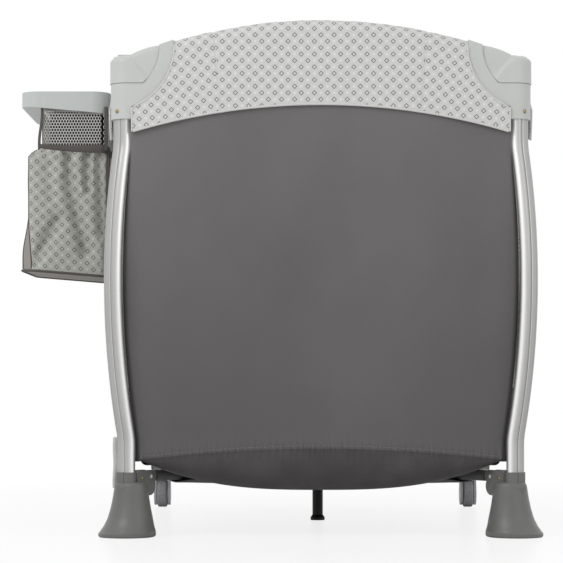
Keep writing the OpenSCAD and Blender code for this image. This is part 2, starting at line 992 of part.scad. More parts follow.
module tray_plan(inset) {
  translate([tray_wide / 2, tray_long / 2])
    rounded_square(tray_wide / 2 - inset, tray_long / 2 - inset, 30 - inset);
}

// Top of the rail cover along the left side, at a distance back from the tray's near end
function cover_top(y) =
  crown_y - arch_y + sqrt(arch_y * arch_y - pow(tray_y + y, 2)) + pad_radius + slack;

// Hook from the tray wall over the rail cover
module rail_hook(y) {
  top = cover_top(y + hook_wide) + 1.5;
  back = tray_off + hook_in;
  translate([-tray_off + hook_in, y, tray_low + tray_tall / 2])
    cube([tray_off - hook_in + tray_wall / 2, hook_wide, tray_tall / 2]);
  translate([-tray_off + hook_in, y, tray_low + tray_tall / 2])
    cube([tray_wall, hook_wide, top - tray_low - tray_tall / 2 + tray_wall]);
  translate([-back - tray_wall, y, top])
    cube([2 * hook_in + 2 * tray_wall, hook_wide, tray_wall]);
  translate([-back - tray_wall, y, top - hook_drop])
    cube([tray_wall, hook_wide, hook_drop + tray_wall]);
}

// Block under the sloping floor of the tray, raised by a thickness
module under_tray(raise) {
  translate([0, -1, tray_low + raise])
    rotate([0, -tray_tilt, 0])
      translate([-tray_wide, 0, -tray_wide])
        cube([3 * tray_wide, tray_long + 2, tray_wide]);
}

module organizer_tray() {
  color("silver")
    organizer() {
      difference() {
        translate([0, 0, tray_low])
          linear_extrude(tray_tall)
            tray_plan(0);
        under_tray(0);
        difference() {
          translate([0, 0, tray_low + tray_wall])
            linear_extrude(tray_tall)
              tray_plan(tray_wall);
          under_tray(tray_wall);
        }
      }
      for (y = [tray_long * 0.18, tray_long * 0.82 - hook_wide])
        rail_hook(y);
    }
}

// Plan of the net under the tray
module net_plan(inset) {
  side = bag_inset + cloth;
  translate([bag_inset + net_wide / 2, tray_long / 2])
    rounded_square(net_wide / 2 - inset, tray_long / 2 - side - inset, 20 - inset);
}

// Net wall from the tray down to the bag
module organizer_net() {
  pitch = 15;
  hole = 10.5;
  first = net_low + hole;
  color("whitesmoke")
    organizer()
      difference() {
        intersection() {
          translate([0, 0, net_low])
            linear_extrude(net_tall + tray_taper)
              difference() {
                net_plan(0);
                net_plan(cloth);
              }
          under_tray(0);
        }
        for (j = [0:2], i = [-2:2])
          translate([bag_inset + net_wide / 2 + net_shift(i, j, pitch), -1, first + j * (hole + 3)])
            rotate([-90, 0, 0])
              cylinder(d = hole, h = tray_long + 2, $fn = 6);
        for (j = [0:2], i = [-6:6])
          translate([tray_wide / 2, tray_long / 2 + net_shift(i, j, pitch), first + j * (hole + 3)])
            rotate([0, 90, 0])
              cylinder(d = hole, h = tray_wide, $fn = 6);
      }
}

// Cloth bag that hangs from the net, open at its top, a little wider at the foot
module organizer_bag() {
  color("lightgray")
    organizer()
      translate([0, 0, bag_low])
        difference() {
          linear_extrude(bag_tall)
            tray_plan(bag_inset);
          translate([0, 0, cloth * 2])
            linear_extrude(bag_tall)
              tray_plan(bag_inset + cloth * 1.5);
        }
}

corner(-1, -1) leg_tube(leg_end_z);  // leg_front_left
corner(1, -1) leg_tube(leg_end_z);  // leg_front_right
corner(-1, 1) leg_tube(rear_end_z);  // leg_rear_left
corner(1, 1) leg_tube(rear_end_z);  // leg_rear_right
corner(-1, -1) corner_bracket();  // corner_bracket_front_left
corner(1, -1) corner_bracket();  // corner_bracket_front_right
corner(-1, 1) corner_bracket();  // corner_bracket_rear_left
corner(1, 1) corner_bracket();  // corner_bracket_rear_right
corner(-1, -1) corner_cover();  // corner_cover_front_left
corner(1, -1) corner_cover();  // corner_cover_front_right
corner(-1, 1) corner_cover();  // corner_cover_rear_left
corner(1, 1) corner_cover();  // corner_cover_rear_right
corner(-1, -1) front_foot();  // foot_front_left
corner(1, -1) front_foot();  // foot_front_right
corner(-1, 1) wheel_fork();  // wheel_fork_rear_left
corner(1, 1) wheel_fork();  // wheel_fork_rear_right
corner(-1, 1) rear_wheel();  // wheel_rear_left
corner(1, 1) rear_wheel();  // wheel_rear_right
corner(-1, -1) leg_pins(false);  // pins_front_left
corner(1, -1) leg_pins(false);  // pins_front_right
corner(-1, 1) leg_pins(true);  // pins_rear_left
corner(1, 1) leg_pins(true);  // pins_rear_right
end_rail(-1) end_half();  // rail_front_left
end_rail(-1) mirror([1, 0, 0]) end_half();  // rail_front_right
end_rail(1) end_half();  // rail_rear_left
end_rail(1) mirror([1, 0, 0]) end_half();  // rail_rear_right
side_rail(-1) side_half();  // rail_left_front
side_rail(-1) mirror([1, 0, 0]) side_half();  // rail_left_rear
side_rail(1) side_half();  // rail_right_front
side_rail(1) mirror([1, 0, 0]) side_half();  // rail_right_rear
end_rail(-1) rail_latch();  // latch_front
end_rail(1) rail_latch();  // latch_rear
side_rail(-1) rail_latch();  // latch_left
side_rail(1) rail_latch();  // latch_right
end_rail(-1) latch_button();  // button_front
end_rail(1) latch_button();  // button_rear
side_rail(-1) latch_button();  // button_left
side_rail(1) latch_button();  // button_right
at_hub_pin(-1, -1) strut_bar();  // strut_front_left
at_hub_pin(1, -1) strut_bar();  // strut_front_right
at_hub_pin(-1, 1) strut_bar();  // strut_rear_left
at_hub_pin(1, 1) strut_bar();  // strut_rear_right
hub();
hub_handle();
hub_pins();
centre_leg();
end_rail(-1) end_cover();  // rail_cover_front
end_rail(1) end_cover();  // rail_cover_rear
side_rail(-1) side_cover();  // rail_cover_left
side_rail(1) side_cover();  // rail_cover_right
end_rail(-1) end_panel();  // end_panel_front
end_rail(1) end_panel();  // end_panel_rear
side_rail(-1) mesh_side();  // mesh_side_left
side_rail(1) mesh_side();  // mesh_side_right
floor_sling();
mattress();
organizer_tray();
organizer_net();
organizer_bag();
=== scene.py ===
import math

import bmesh
import bpy
import numpy as np
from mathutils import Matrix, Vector, noise


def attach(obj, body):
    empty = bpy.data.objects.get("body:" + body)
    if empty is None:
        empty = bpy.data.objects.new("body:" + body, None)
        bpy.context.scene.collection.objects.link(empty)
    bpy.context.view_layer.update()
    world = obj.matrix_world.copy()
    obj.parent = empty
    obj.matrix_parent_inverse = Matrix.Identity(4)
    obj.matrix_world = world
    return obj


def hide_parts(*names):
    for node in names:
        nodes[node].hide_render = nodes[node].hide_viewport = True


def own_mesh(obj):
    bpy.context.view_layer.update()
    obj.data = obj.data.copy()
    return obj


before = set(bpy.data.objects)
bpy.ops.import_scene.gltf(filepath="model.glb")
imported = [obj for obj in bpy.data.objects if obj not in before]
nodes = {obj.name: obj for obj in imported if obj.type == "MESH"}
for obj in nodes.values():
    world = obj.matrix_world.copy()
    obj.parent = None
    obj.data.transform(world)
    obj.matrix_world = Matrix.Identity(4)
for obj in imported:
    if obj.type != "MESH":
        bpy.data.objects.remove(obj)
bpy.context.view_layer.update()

# Legs: four oval aluminium tubes with a flat strip along the outer face, bowed outward
# between corner and foot. They are drawn, bent and pressed into the corner and the foot.
LEG_X, LEG_Y = 0.319, 0.476
LEG_DEEP, LEG_HALF = 0.0205, 0.00625
LEG_TOP, LEG_LOW, LEG_LOW_REAR = 0.740, 0.020, 0.062
BOW_RADIUS, BOW_OUT, BOW_TOP = 1.167, 0.0198, 0.628
FOOT_IN = 0.006
STRIP_HALF, STRIP_RAISE = 0.0050, 0.0009
GROOVE_DEEP, GROOVE_EDGE, GROOVE_WIDE = 0.0009, 0.0004, 0.0010
BEND_SPREAD = 0.009
# Grey tones round the leg section: the strip's own darker tone, then a painted highlight on the ridge,
# painted shade in the groove, a broad painted highlight toward the inner round and painted shade at its far
# edge.
LEG_TONES_AND_PAINTED_LIGHT = (
    (0.0, 172), (0.095, 176), (0.112, 214), (0.122, 214), (0.132, 128), (0.150, 128), (0.165, 160),
    (0.33, 182), (0.395, 214), (0.45, 250), (0.50, 255), (0.545, 240), (0.61, 165), (0.72, 110), (1.0, 110),
)
CORNERS = {"front_left": (-1, -1), "front_right": (1, -1), "rear_left": (-1, 1), "rear_right": (1, 1)}

foot_drop = FOOT_IN * math.sqrt(2)
bow_mid = BOW_TOP - BOW_RADIUS * math.sin(math.acos(1 - BOW_OUT / BOW_RADIUS))
bow_low = bow_mid - BOW_RADIUS * math.sin(math.acos(1 - (BOW_OUT + foot_drop) / BOW_RADIUS))


def leg_out(z):
    """How far the leg axis stands out of the corner, along the diagonal."""
    z = np.asarray(z, float)
    bow = BOW_OUT - BOW_RADIUS + np.sqrt(BOW_RADIUS**2 - (z - bow_mid) ** 2)
    return np.where(z > BOW_TOP, 0.0, np.where(z > bow_low, bow, -foot_drop))


def srgb(r, g, b):
    """A colour as it is read off a screen, in linear light."""
    return tuple(((c / 255 + 0.055) / 1.055) ** 2.4 if c > 10 else c / 255 / 12.92 for c in (r, g, b))


class Wire:
    """One socket of a finish, so that its sums are written as plain sums."""

    def __init__(self, tree, socket):
        self.tree, self.socket = tree, socket

    def node(self, kind, settings=None, sockets=None, out=0):
        made = self.tree.nodes.new(kind)
        for name, value in (settings or {}).items():
            if name == "stops":
                ramp = made.color_ramp.elements
                while len(ramp) < len(value):
                    ramp.new(0.5)
                for stop, (at, colour) in zip(ramp, value):
                    stop.position, stop.color = at, (*colour, 1)
            else:
                setattr(made, name, value)
        for name, value in (sockets or {}).items():
            if isinstance(value, Wire):
                self.tree.links.new(value.socket, made.inputs[name])
            else:
                made.inputs[name].default_value = value
        return Wire(self.tree, made.outputs[out])

    def math(self, operation, *others):
        return self.node("ShaderNodeMath", {"operation": operation}, dict(enumerate((self, *others))))

    def __add__(self, other):
        return self.math("ADD", other)

    def __sub__(self, other):
        return self.math("SUBTRACT", other)

    def __mul__(self, other):
        return self.math("MULTIPLY", other)

    def __truediv__(self, other):
        return self.math("DIVIDE", other)

    def part(self, which):
        return self.node("ShaderNodeSeparateXYZ", None, {0: self}, which)

    def noise(self, scale, detail=3.0, rough=0.55):
        sockets = {"Vector": self, "Scale": scale, "Detail": detail, "Roughness": rough}
        return self.node("ShaderNodeTexNoise", None, sockets)

    def step(self, low, high):
        """0 under low, 1 over high, smooth between them."""
        return self.node(
            "ShaderNodeMapRange",
            {"interpolation_type": "SMOOTHSTEP"},
            {"Value": self, "From Min": low, "From Max": high},
        )

    def colours(self, low, high):
        sockets = {0: self, 6: colour_of(low), 7: colour_of(high)}
        return self.node("ShaderNodeMix", {"data_type": "RGBA"}, sockets, 2)

    def stretched(self, x, y, z):
        return self.node("ShaderNodeVectorMath", {"operation": "MULTIPLY"}, {0: self, 1: (x, y, z)})

    def bumps(self, strength, depth):
        return self.node("ShaderNodeBump", None, {"Strength": strength, "Distance": depth, "Height": self})

    def into(self, shader, name):
        self.tree.links.new(self.socket, shader.inputs[name])


def colour_of(value):
    return value if isinstance(value, Wire) else (*value, 1)


class Finish:
    """A material with one surface shader, and the coordinates that its patterns follow."""

    def __init__(self, name, colour, rough, metal=0.0, **fixed):
        self.material = bpy.data.materials.new(name)
        self.material.use_nodes = True
        tree = self.material.node_tree
        self.shader = tree.nodes["Principled BSDF"]
        self.shader.inputs["Base Color"].default_value = (*colour, 1)
        self.shader.inputs["Roughness"].default_value = rough
        self.shader.inputs["Metallic"].default_value = metal
        for name, value in fixed.items():
            self.shader.inputs[name.replace("_", " ")].default_value = value
        where = tree.nodes.new("ShaderNodeTexCoord")
        self.place = Wire(tree, where.outputs["Object"])
        self.cut = Wire(tree, where.outputs["UV"])

    def tint(self, pattern, low, high):
        """Runs from one screen colour to another along a pattern."""
        pattern.colours(srgb(*low), srgb(*high)).into(self.shader, "Base Color")

    def mottle(self, scale, detail, low, high):
        """Wavers between two screen colours over the surface."""
        self.tint(self.place.noise(scale, detail), low, high)

    def relief(self, pattern, strength, depth):
        pattern.bumps(strength, depth).into(self.shader, "Normal")

    def grain(self, scale, detail, strength, depth):
        """Fine unevenness, as moulded, coated or woven."""
        self.relief(self.place.noise(scale, detail), strength, depth)

    def gloss(self, pattern, spread, least):
        (pattern * spread + least).into(self.shader, "Roughness")


def skin(name, points, faces, *finishes):
    """A smooth piece from points and faces, in the row frame."""
    mesh = bpy.data.meshes.new(name)
    mesh.from_pydata([tuple(p) for p in points], [], [tuple(f) for f in faces])
    mesh.polygons.foreach_set("use_smooth", [True] * len(mesh.polygons))
    for f in finishes:
        mesh.materials.append(f.material)
    made = bpy.data.objects.new(name, mesh)
    bpy.context.scene.collection.objects.link(made)
    return made


def face_out(piece):
    shape = bmesh.new()
    shape.from_mesh(piece.data)
    bmesh.ops.remove_doubles(shape, verts=shape.verts, dist=1e-6)
    bmesh.ops.recalc_face_normals(shape, faces=shape.faces)
    shape.to_mesh(piece.data)
    shape.free()
    return piece


def weave(rows, cols, closed=False):
    """Faces of a net of points, row after row."""
    last = cols if closed else cols - 1
    return [
        (r * cols + c, r * cols + (c + 1) % cols, (r + 1) * cols + (c + 1) % cols, (r + 1) * cols + c)
        for r in range(rows - 1)
        for c in range(last)
    ]


def ease(t):
    t = np.clip(t, 0, 1)
    return t * t * (3 - 2 * t)


def cut_map(piece, values, other=None, second=None):
    """Lays the flat cut of the cloth over the piece, in metres, with another cut on the second faces."""
    layer = piece.data.uv_layers.new(name="cut")
    at = np.zeros(len(piece.data.loops), int)
    piece.data.loops.foreach_get("vertex_index", at)
    flat = np.asarray(values, np.float32)[at]
    if other is not None:
        size = np.zeros(len(piece.data.polygons), int)
        piece.data.polygons.foreach_get("loop_total", size)
        flat = np.where(np.repeat(second, size)[:, None], np.asarray(other, np.float32)[at], flat)
    layer.data.foreach_set("uv", flat.ravel())


leg_metal = Finish("brushed_aluminium", srgb(186, 186, 182), 0.34, 0.6)
drawn = leg_metal.place.stretched(1, 1, 0.012).noise(2600, 2.0)
leg_metal.gloss(drawn, 0.16, 0.25)
leg_metal.relief(drawn, 0.10, 0.0004)
around = leg_metal.cut.part(0)
stops = [(at, srgb(tone, tone, tone)) for at, tone in LEG_TONES_AND_PAINTED_LIGHT]
# This ramp paints highlight and shade round the tube, the same on every leg.
leg_tone_and_painted_light = around.node("ShaderNodeValToRGB", {"stops": stops}, {"Fac": around})
streaks = leg_metal.place.stretched(1, 1, 0.05).noise(60, 2.0) * 0.22
streaks.colours(leg_tone_and_painted_light, srgb(232, 230, 222)).into(leg_metal.shader, "Base Color")


def leg_section():
    """Outline of the tube, outward and along its width: the strip, its two grooves and two half rounds."""
    r = LEG_DEEP / 2
    strip = [(r + STRIP_RAISE, t * STRIP_HALF) for t in (-0.94, -0.5, 0, 0.5, 0.94)]
    groove = [
        (r + STRIP_RAISE * 0.5, STRIP_HALF),
        (r - GROOVE_DEEP, STRIP_HALF + GROOVE_EDGE),
        (r - GROOVE_DEEP, STRIP_HALF + GROOVE_WIDE),
    ]
    turns = np.linspace(4, 176, 22)
    far = [(r * math.cos(math.radians(a)), LEG_HALF + r * math.sin(math.radians(a))) for a in turns]
    near = [(e, -f) for e, f in reversed(far)]
    return strip + groove + far + near + [(e, -f) for e, f in reversed(groove)]


def leg_shell(corner, sx, sy):
    low = LEG_LOW if sy < 0 else LEG_LOW_REAR
    heights = np.linspace(low, LEG_TOP, 96)
    spread = np.linspace(-BEND_SPREAD, BEND_SPREAD, 9)
    outs = leg_out(heights[:, None] + spread).mean(axis=1)
    d, t = np.array([sx, sy]) / math.sqrt(2), np.array([-sy, sx]) / math.sqrt(2)
    section = leg_section()
    axis = np.array([sx * LEG_X, sy * LEG_Y])
    points = [(*(axis + d * (q + e) + t * f), z) for z, q in zip(heights, outs) for e, f in section]
    n = len(section)
    faces = weave(len(heights), n, True) + [tuple(range(n))[::-1], tuple(range(len(points) - n, len(points)))]
    shell = skin("leg_shell_" + corner, points, faces, leg_metal)
    around = np.array(section)
    step = np.hypot(*(np.roll(around, -1, axis=0) - around).T)
    run = np.concatenate([[0], np.cumsum(step)[:-1]]) - STRIP_HALF
    share = np.minimum(np.abs(run), step.sum() - np.abs(run)) / (step.sum() / 2)
    cut_map(shell, [(a, z) for z in heights for a in share])
    face_out(shell)
    for end in sorted(shell.data.polygons, key=lambda p: -len(p.vertices))[:2]:
        end.use_smooth = False
    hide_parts("leg_" + corner)
    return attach(shell, "leg_" + corner)


for corner, (sx, sy) in CORNERS.items():
    leg_shell(corner, sx, sy)

# Corners: two light-grey mouldings at the head of each leg. The lower one is the bracket with the
# leg sleeve and the rail slots. The upper one is a thin cap with an arched wing toward each rail.
# Both are injection moulded, and the cap sits over the bracket.
corner_plastic = Finish("light_grey_moulding", srgb(199, 201, 199), 0.42, Specular_IOR_Level=0.4)
grain = corner_plastic.place.noise(1900, 2.0)
corner_plastic.relief(grain, 0.06, 0.0004)
corner_plastic.mottle(14, 3.0, (196, 198, 196), (203, 205, 203))
corner_plastic.gloss(grain, 0.12, 0.36)


def dress(name, finish):
    """Gives a CAD node its finish, with soft shading over its round faces."""
    node = nodes[name]
    node.data.materials.clear()
    node.data.materials.append(finish.material)
    node.data.polygons.foreach_set("use_smooth", [True] * len(node.data.polygons))
    joined = node.modifiers.new("joined", "WELD")
    joined.merge_threshold = 2e-5
    edges = node.modifiers.new("edges", "EDGE_SPLIT")
    edges.split_angle = math.radians(28)


for corner in CORNERS:
    dress("corner_bracket_" + corner, corner_plastic)


def solid(piece, thickness, offset=-1.0):
    wall = piece.modifiers.new("thickness", "SOLIDIFY")
    wall.thickness, wall.offset = thickness, offset
    settle(piece)
    piece.data.set_sharp_from_angle(angle=math.radians(40))
    return piece


def settle(piece):
    """Turns what the modifiers make into the piece's own mesh."""
    done = bpy.data.meshes.new_from_object(piece.evaluated_get(bpy.context.evaluated_depsgraph_get()))
    done.name = piece.name
    piece.modifiers.clear()
    piece.data = done
    return piece


def face_out_from(piece, centre):
    """Turns an open sheet's faces away from the middle of the yard."""
    mesh = piece.data
    total = sum((p.center - Vector(centre)).dot(p.normal) * p.area for p in mesh.polygons)
    if total < 0:
        mesh.flip_normals()


CORNER_OUT, CORNER_IN, CORNER_ROUND = 0.0186, 0.016, 0.026
CAP_LOW, CAP_EDGE, CAP_WALL = 0.7273, 0.009, 0.0012
SEAM_BACK, SEAM_Z, SEAM_RADIUS = 0.0195, 0.7860, 0.0796
SHOULDER_Z, SHOULDER_U, KNOB_RISE = 0.7693, 0.00725, 0.0008
DIP_U, DIP_WIDE, DIP_DEEP = 0.0110, 0.0028, 0.0026
ARCH_RISE, ARCH_LONG = 0.003, 0.055
CREASE_U, CREASE_RUN, CREASE_WIDE = 0.010, 0.032, 0.007
WING_SUNK, WING_PROUD, WING_FADE = 0.0026, 0.0012, 0.02
END_SLOPE, SIDE_SLOPE = 19, 11


def cap_top(u, slope):
    """Height of a cap over its distance from the leg: a low knob, a dip, then an arched wing."""
    rise = np.maximum(u - SHOULDER_U, 0)
    arch = ARCH_RISE * np.sin(math.pi * np.clip(rise / ARCH_LONG, 0, 1))
    dip = DIP_DEEP * np.exp(-(((u - DIP_U) / DIP_WIDE) ** 2))
    return SHOULDER_Z + KNOB_RISE + rise * math.tan(math.radians(slope)) + arch - dip


def cap_wing(slope, wall, inset, climb, cols):
    """One row of a cap wing, from the column to the seam: distance from the leg, depth and height."""
    share = np.linspace(0, 1, cols)
    u = share * 0.05
    for _ in range(6):
        top = cap_top(u, slope)
        z = CAP_LOW + (top - CAP_EDGE - CAP_LOW) * wall + CAP_EDGE * climb
        low_end = np.sqrt(np.maximum(SEAM_RADIUS**2 - (z - SEAM_Z) ** 2, 1e-9)) - SEAM_BACK
        u = CORNER_ROUND - CORNER_OUT + share * (low_end - CORNER_ROUND + CORNER_OUT)
    crease = CREASE_U + CREASE_RUN * (1 - wall)
    past = ease((u - crease) / CREASE_WIDE)
    face = WING_SUNK * past * ease(wall * 3) - WING_PROUD * (1 - past)
    return u, inset + face * (1 - min(inset / WING_FADE, 1)), z


def corner_cap(corner):
    """The cap's outer face, row by row from its low edge up over the top and down inside."""
    sx, sy = CORNERS[corner]
    cols, turns = 36, 18
    width = CORNER_OUT + CORNER_IN
    rows = [(f, 0.0, 0.0) for f in np.linspace(0, 1, 22)]
    rows += [(1.0, CAP_EDGE * (1 - math.cos(a)), math.sin(a)) for a in np.radians(np.linspace(0, 90, 10)[1:])]
    rows += [(1.0, d, 1.0) for d in np.linspace(CAP_EDGE, width - 0.003, 8)[1:]]
    rows += [(1.0, width - 0.001, 0.85), (1.0, width, 0.6), (0.8, width, 0.0), (0.5, width, 0.0)]
    middle = CORNER_ROUND - CORNER_OUT
    points = []
    for wall, inset, climb in rows:
        end_u, end_d, end_z = cap_wing(END_SLOPE, wall, inset, climb, cols)
        side_u, side_d, side_z = cap_wing(SIDE_SLOPE, wall, inset, climb, cols)
        line = [(u, d - CORNER_OUT, z) for u, d, z in zip(end_u[::-1], end_d[::-1], end_z[::-1])]
        for share in np.linspace(0, 1, turns)[1:-1]:
            a = math.radians(-90 - 90 * share)
            depth = end_d[0] + (side_d[0] - end_d[0]) * share
            reach = max(CORNER_ROUND - depth, 0.0)
            past = min(max(depth - CORNER_ROUND, 0.0) / (width - CORNER_ROUND), 1.0)
            core = middle + (CORNER_IN - middle) * past
            z = end_z[0] + (side_z[0] - end_z[0]) * share
            line.append((core + reach * math.cos(a), core + reach * math.sin(a), z))
        line += [(d - CORNER_OUT, u, z) for u, d, z in zip(side_u, side_d, side_z)]
        points += [(sx * (LEG_X - x), sy * (LEG_Y - y), z) for x, y, z in line]
    count = 2 * cols + turns - 2
    cap = skin("corner_cap_" + corner, points, weave(len(rows), count), corner_plastic)
    face_out_from(cap, (sx * (LEG_X - 0.02), sy * (LEG_Y - 0.02), CAP_LOW))
    solid(cap, CAP_WALL)
    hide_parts("corner_cover_" + corner)
    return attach(cap, "leg_" + corner)


for corner in CORNERS:
    corner_cap(corner)

# Feet: two hollow bell feet in dark grey plastic at the near end and two paler wheel forks at the
# far end, moulded with a collar round the leg and a fork for the floor strut. A flared skirt is
# set round each bell.
foot_plastic = Finish("dark_grey_moulding", srgb(108, 108, 106), 0.46, Specular_IOR_Level=0.45)
pores = foot_plastic.place.noise(1500, 3.0)
foot_plastic.relief(pores, 0.10, 0.0005)
foot_plastic.mottle(20, 3.0, (103, 103, 101), (113, 113, 111))
foot_plastic.gloss(pores, 0.12, 0.32)
fork_plastic = Finish("mid_grey_moulding", srgb(176, 176, 180), 0.42, Specular_IOR_Level=0.45)
fork_plastic.grain(1500, 3.0, 0.10, 0.0005)
fork_plastic.mottle(20, 3.0, (171, 171, 175), (182, 182, 186))
for corner, (sx, sy) in CORNERS.items():
    dress(("foot_" if sy < 0 else "wheel_fork_") + corner, foot_plastic if sy < 0 else fork_plastic)

FOOT_X, FOOT_Y = 0.313, 0.470
# Each ring of a skirt: its height, its radius and its shift toward the hub.
SKIRT = (
    (0.0004, 0.043, 0.003), (0.0025, 0.0455, 0.003), (0.009, 0.0450, 0.0035), (0.018, 0.0405, 0.006),
    (0.030, 0.0365, 0.0085), (0.046, 0.0325, 0.0095), (0.062, 0.0295, 0.0100), (0.076, 0.0278, 0.0105),
    (0.084, 0.0262, 0.0105), (0.0875, 0.0235, 0.0105), (0.0885, 0.0200, 0.0105),
)


def foot_skirt(corner):
    """The flared skirt of a bell foot, fuller toward the strut than toward the outer corner."""
    sx, sy = CORNERS[corner]
    count, rows = 72, 40
    heights, radii, shifts = np.array(SKIRT).T
    share = np.linspace(0, 1, len(heights))
    fine = np.linspace(0, 1, rows)
    z, r, c = (np.interp(fine, share, line) for line in (heights, radii, shifts))
    turn = np.linspace(0, 2 * math.pi, count, endpoint=False)
    rings = [
        np.stack([
            sx * (FOOT_X - c[k] * math.sqrt(0.5)) + r[k] * np.cos(turn),
            sy * (FOOT_Y - c[k] * math.sqrt(0.5)) + r[k] * np.sin(turn),
            np.full(count, z[k]),
        ], axis=-1)
        for k in range(rows)
    ]
    points = np.concatenate(rings)
    faces = weave(rows, count, True) + [tuple(range(count)), tuple(range((rows - 1) * count, rows * count))]
    skirt = skin("foot_skirt_" + corner, points, faces, foot_plastic)
    face_out(skirt)
    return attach(skirt, "leg_" + corner)


for corner in ("front_left", "front_right"):
    foot_skirt(corner)

# Wheels: two solid wheels with a rounded tread, moulded in grey plastic. Each turns on a steel
# axle between the cheeks of its fork.
wheel_plastic = Finish("grey_wheel_plastic", srgb(150, 150, 154), 0.5)
scuff = wheel_plastic.place.noise(160, 4.0, 0.65)
wheel_plastic.tint(scuff.step(0.35, 0.75), (138, 138, 142), (160, 160, 164))
wheel_plastic.relief(scuff, 0.15, 0.0006)
for corner in ("rear_left", "rear_right"):
    dress("wheel_" + corner, wheel_plastic)

# Pins: brass-plated steel pins that every fold of the frame turns on, set through the corners,
# the feet and the hub.
pin_brass = Finish("brass_plate", srgb(150, 134, 104), 0.32, 1.0)
pin_brass.mottle(700, 3.0, (122, 106, 78), (178, 162, 128))
for corner in CORNERS:
    dress("pins_" + corner, pin_brass)
dress("hub_pins", pin_brass)

# Top rails: eight half rails of bent steel tube with a flat eye at the corner and a drop end at
# mid rail, powder coated grey. They lie inside the padded covers.
rail_steel = Finish("grey_powder_coat", srgb(128, 128, 127), 0.5)
peel = rail_steel.place.noise(900, 2.0)
rail_steel.relief(peel, 0.12, 0.0004)
rail_steel.tint(peel, (121, 121, 120), (135, 135, 134))
SIDES = {
    "front": ("left", "right"),
    "rear": ("left", "right"),
    "left": ("front", "rear"),
    "right": ("front", "rear"),
}
for side, halves in SIDES.items():
    for half in halves:
        dress(f"rail_{side}_{half}", rail_steel)

# Latches: four moulded plastic locks at mid rail, pinned to both half rails, with a push button
# from below.
button_plastic = Finish("slate_button", srgb(120, 126, 132), 0.4)
button_plastic.grain(1200, 2.0, 0.08, 0.0004)
button_plastic.mottle(40, 2.0, (114, 120, 126), (126, 132, 138))
for side in SIDES:
    dress("latch_" + side, foot_plastic)
    dress("button_" + side, button_plastic)

# Floor frame: a moulded hub with a lift handle, a short leg under it, and four steel struts that
# run out to the feet. They carry the floor.
strut_steel = Finish("dark_powder_coat", srgb(92, 92, 91), 0.48)
fleck = strut_steel.place.noise(1100, 2.0)
strut_steel.relief(fleck, 0.12, 0.0004)
strut_steel.tint(fleck, (86, 86, 85), (98, 98, 97))
stub_plastic = Finish("black_stub_plastic", srgb(36, 33, 27), 0.5)
stub_plastic.mottle(700, 3.0, (31, 29, 24), (44, 41, 34))
for corner in CORNERS:
    dress("strut_" + corner, strut_steel)
dress("hub", foot_plastic)
dress("hub_handle", corner_plastic)
dress("centre_leg", stub_plastic)

# Folding of the cloth: the legs come in as the yard folds, and each half of a wall rides on its own leg.
REACH_X, REACH_Y = 0.224, 0.381
WALLS = {"front": (-1, "x"), "rear": (1, "x"), "left": (-1, "y"), "right": (1, "y")}


def corner_of(side, half):
    return f"{side}_{half}" if side in ("front", "rear") else f"{half}_{side}"


def on_wall(side, half, s, v, z):
    """From a distance along a wall, a distance inward and a height to the row frame."""
    sign, along = WALLS[side]
    run = (-1 if half in ("left", "front") else 1) * np.asarray(s)
    depth = sign * ((LEG_Y if along == "x" else LEG_X) - np.asarray(v))
    return np.stack([run, depth, z] if along == "x" else [depth, run, z], axis=-1)


def gather(piece, side, half):
    corner = corner_of(side, half)
    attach(piece, "leg_" + corner)
    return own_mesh(piece)


def ripple(points, scale, seed=0.0):
    """Smooth values from -1 to 1 over points, the same on every run."""
    return np.array([noise.noise(Vector(p) * scale + Vector((seed, 0, 0))) for p in points])


# End panels: dark grey nylon between the legs of each short end, sewn to the cover above. At the floor a
# gathered seam joins it to the belly that sags round the floor under the pad, coloured darker as painted
# shade.
BAND_Z, BAND_RADIUS = 0.693, 1.060
PANEL_V, PANEL_LEAN, PANEL_LOW = -0.0163, 0.026, 0.118
PANEL_EDGE = 0.0149
PANEL_TUCK, PANEL_TURN, PANEL_TURN_WIDE = 0.006, 0.006, 0.0028
FLOOR_SEAM_Z, FLOOR_SEAM_FALL = 0.142, 0.019
GATHER_PITCH, GATHER_DEEP, GATHER_LOW_DEEP, GATHER_TALL = 0.0105, 0.0036, 0.0032, 0.012
BELLY_Z, BELLY_END_Z, BELLY_IN, BELLY_OUT = 0.0735, 0.1265, 0.042, 0.006
SKIRT_LOW, SKIRT_RISE = 0.112, 0.0115
CLOTH = 0.0012

panel_cloth = Finish("dark_nylon", srgb(102, 100, 101), 0.62, Sheen_Weight=0.12, Sheen_Roughness=0.4)
threads = panel_cloth.cut.stretched(1, 1, 0)
ribs = (threads.part(0) * 9000).math("SINE") * 0.5 + (threads.part(1) * 9000).math("SINE") * 0.5
clouds = panel_cloth.place.noise(7, 4.0, 0.6)
panel_cloth.relief(ribs * 0.35 + panel_cloth.place.noise(60, 4.0) * 0.9, 0.18, 0.0006)
# The colour mixes random tone with painted light: large painted sheen patches, and painted light that
# brightens toward the top and the left.
broad = panel_cloth.place.stretched(1, 1, 0.45).noise(3.2, 3.0, 0.55)
high = panel_cloth.place.part(2) - panel_cloth.place.part(0) * 0.25
tone_and_painted_light = clouds * 0.3 + broad * 0.9 + high * 0.75
panel_cloth.tint(tone_and_painted_light.step(0.55, 1.45), (88, 86, 87), (112, 109, 110))
panel_cloth.gloss(clouds, 0.12, 0.55)

# A darker copy of the panel nylon: painted shade where the belly and the floor cloth face down under the
# yard.
belly_cloth_painted_shade = Finish("nylon_painted_shade", srgb(64, 60, 61), 0.6, Sheen_Weight=0.1, Sheen_Roughness=0.4)
folds = belly_cloth_painted_shade.place.noise(22, 4.0, 0.6)
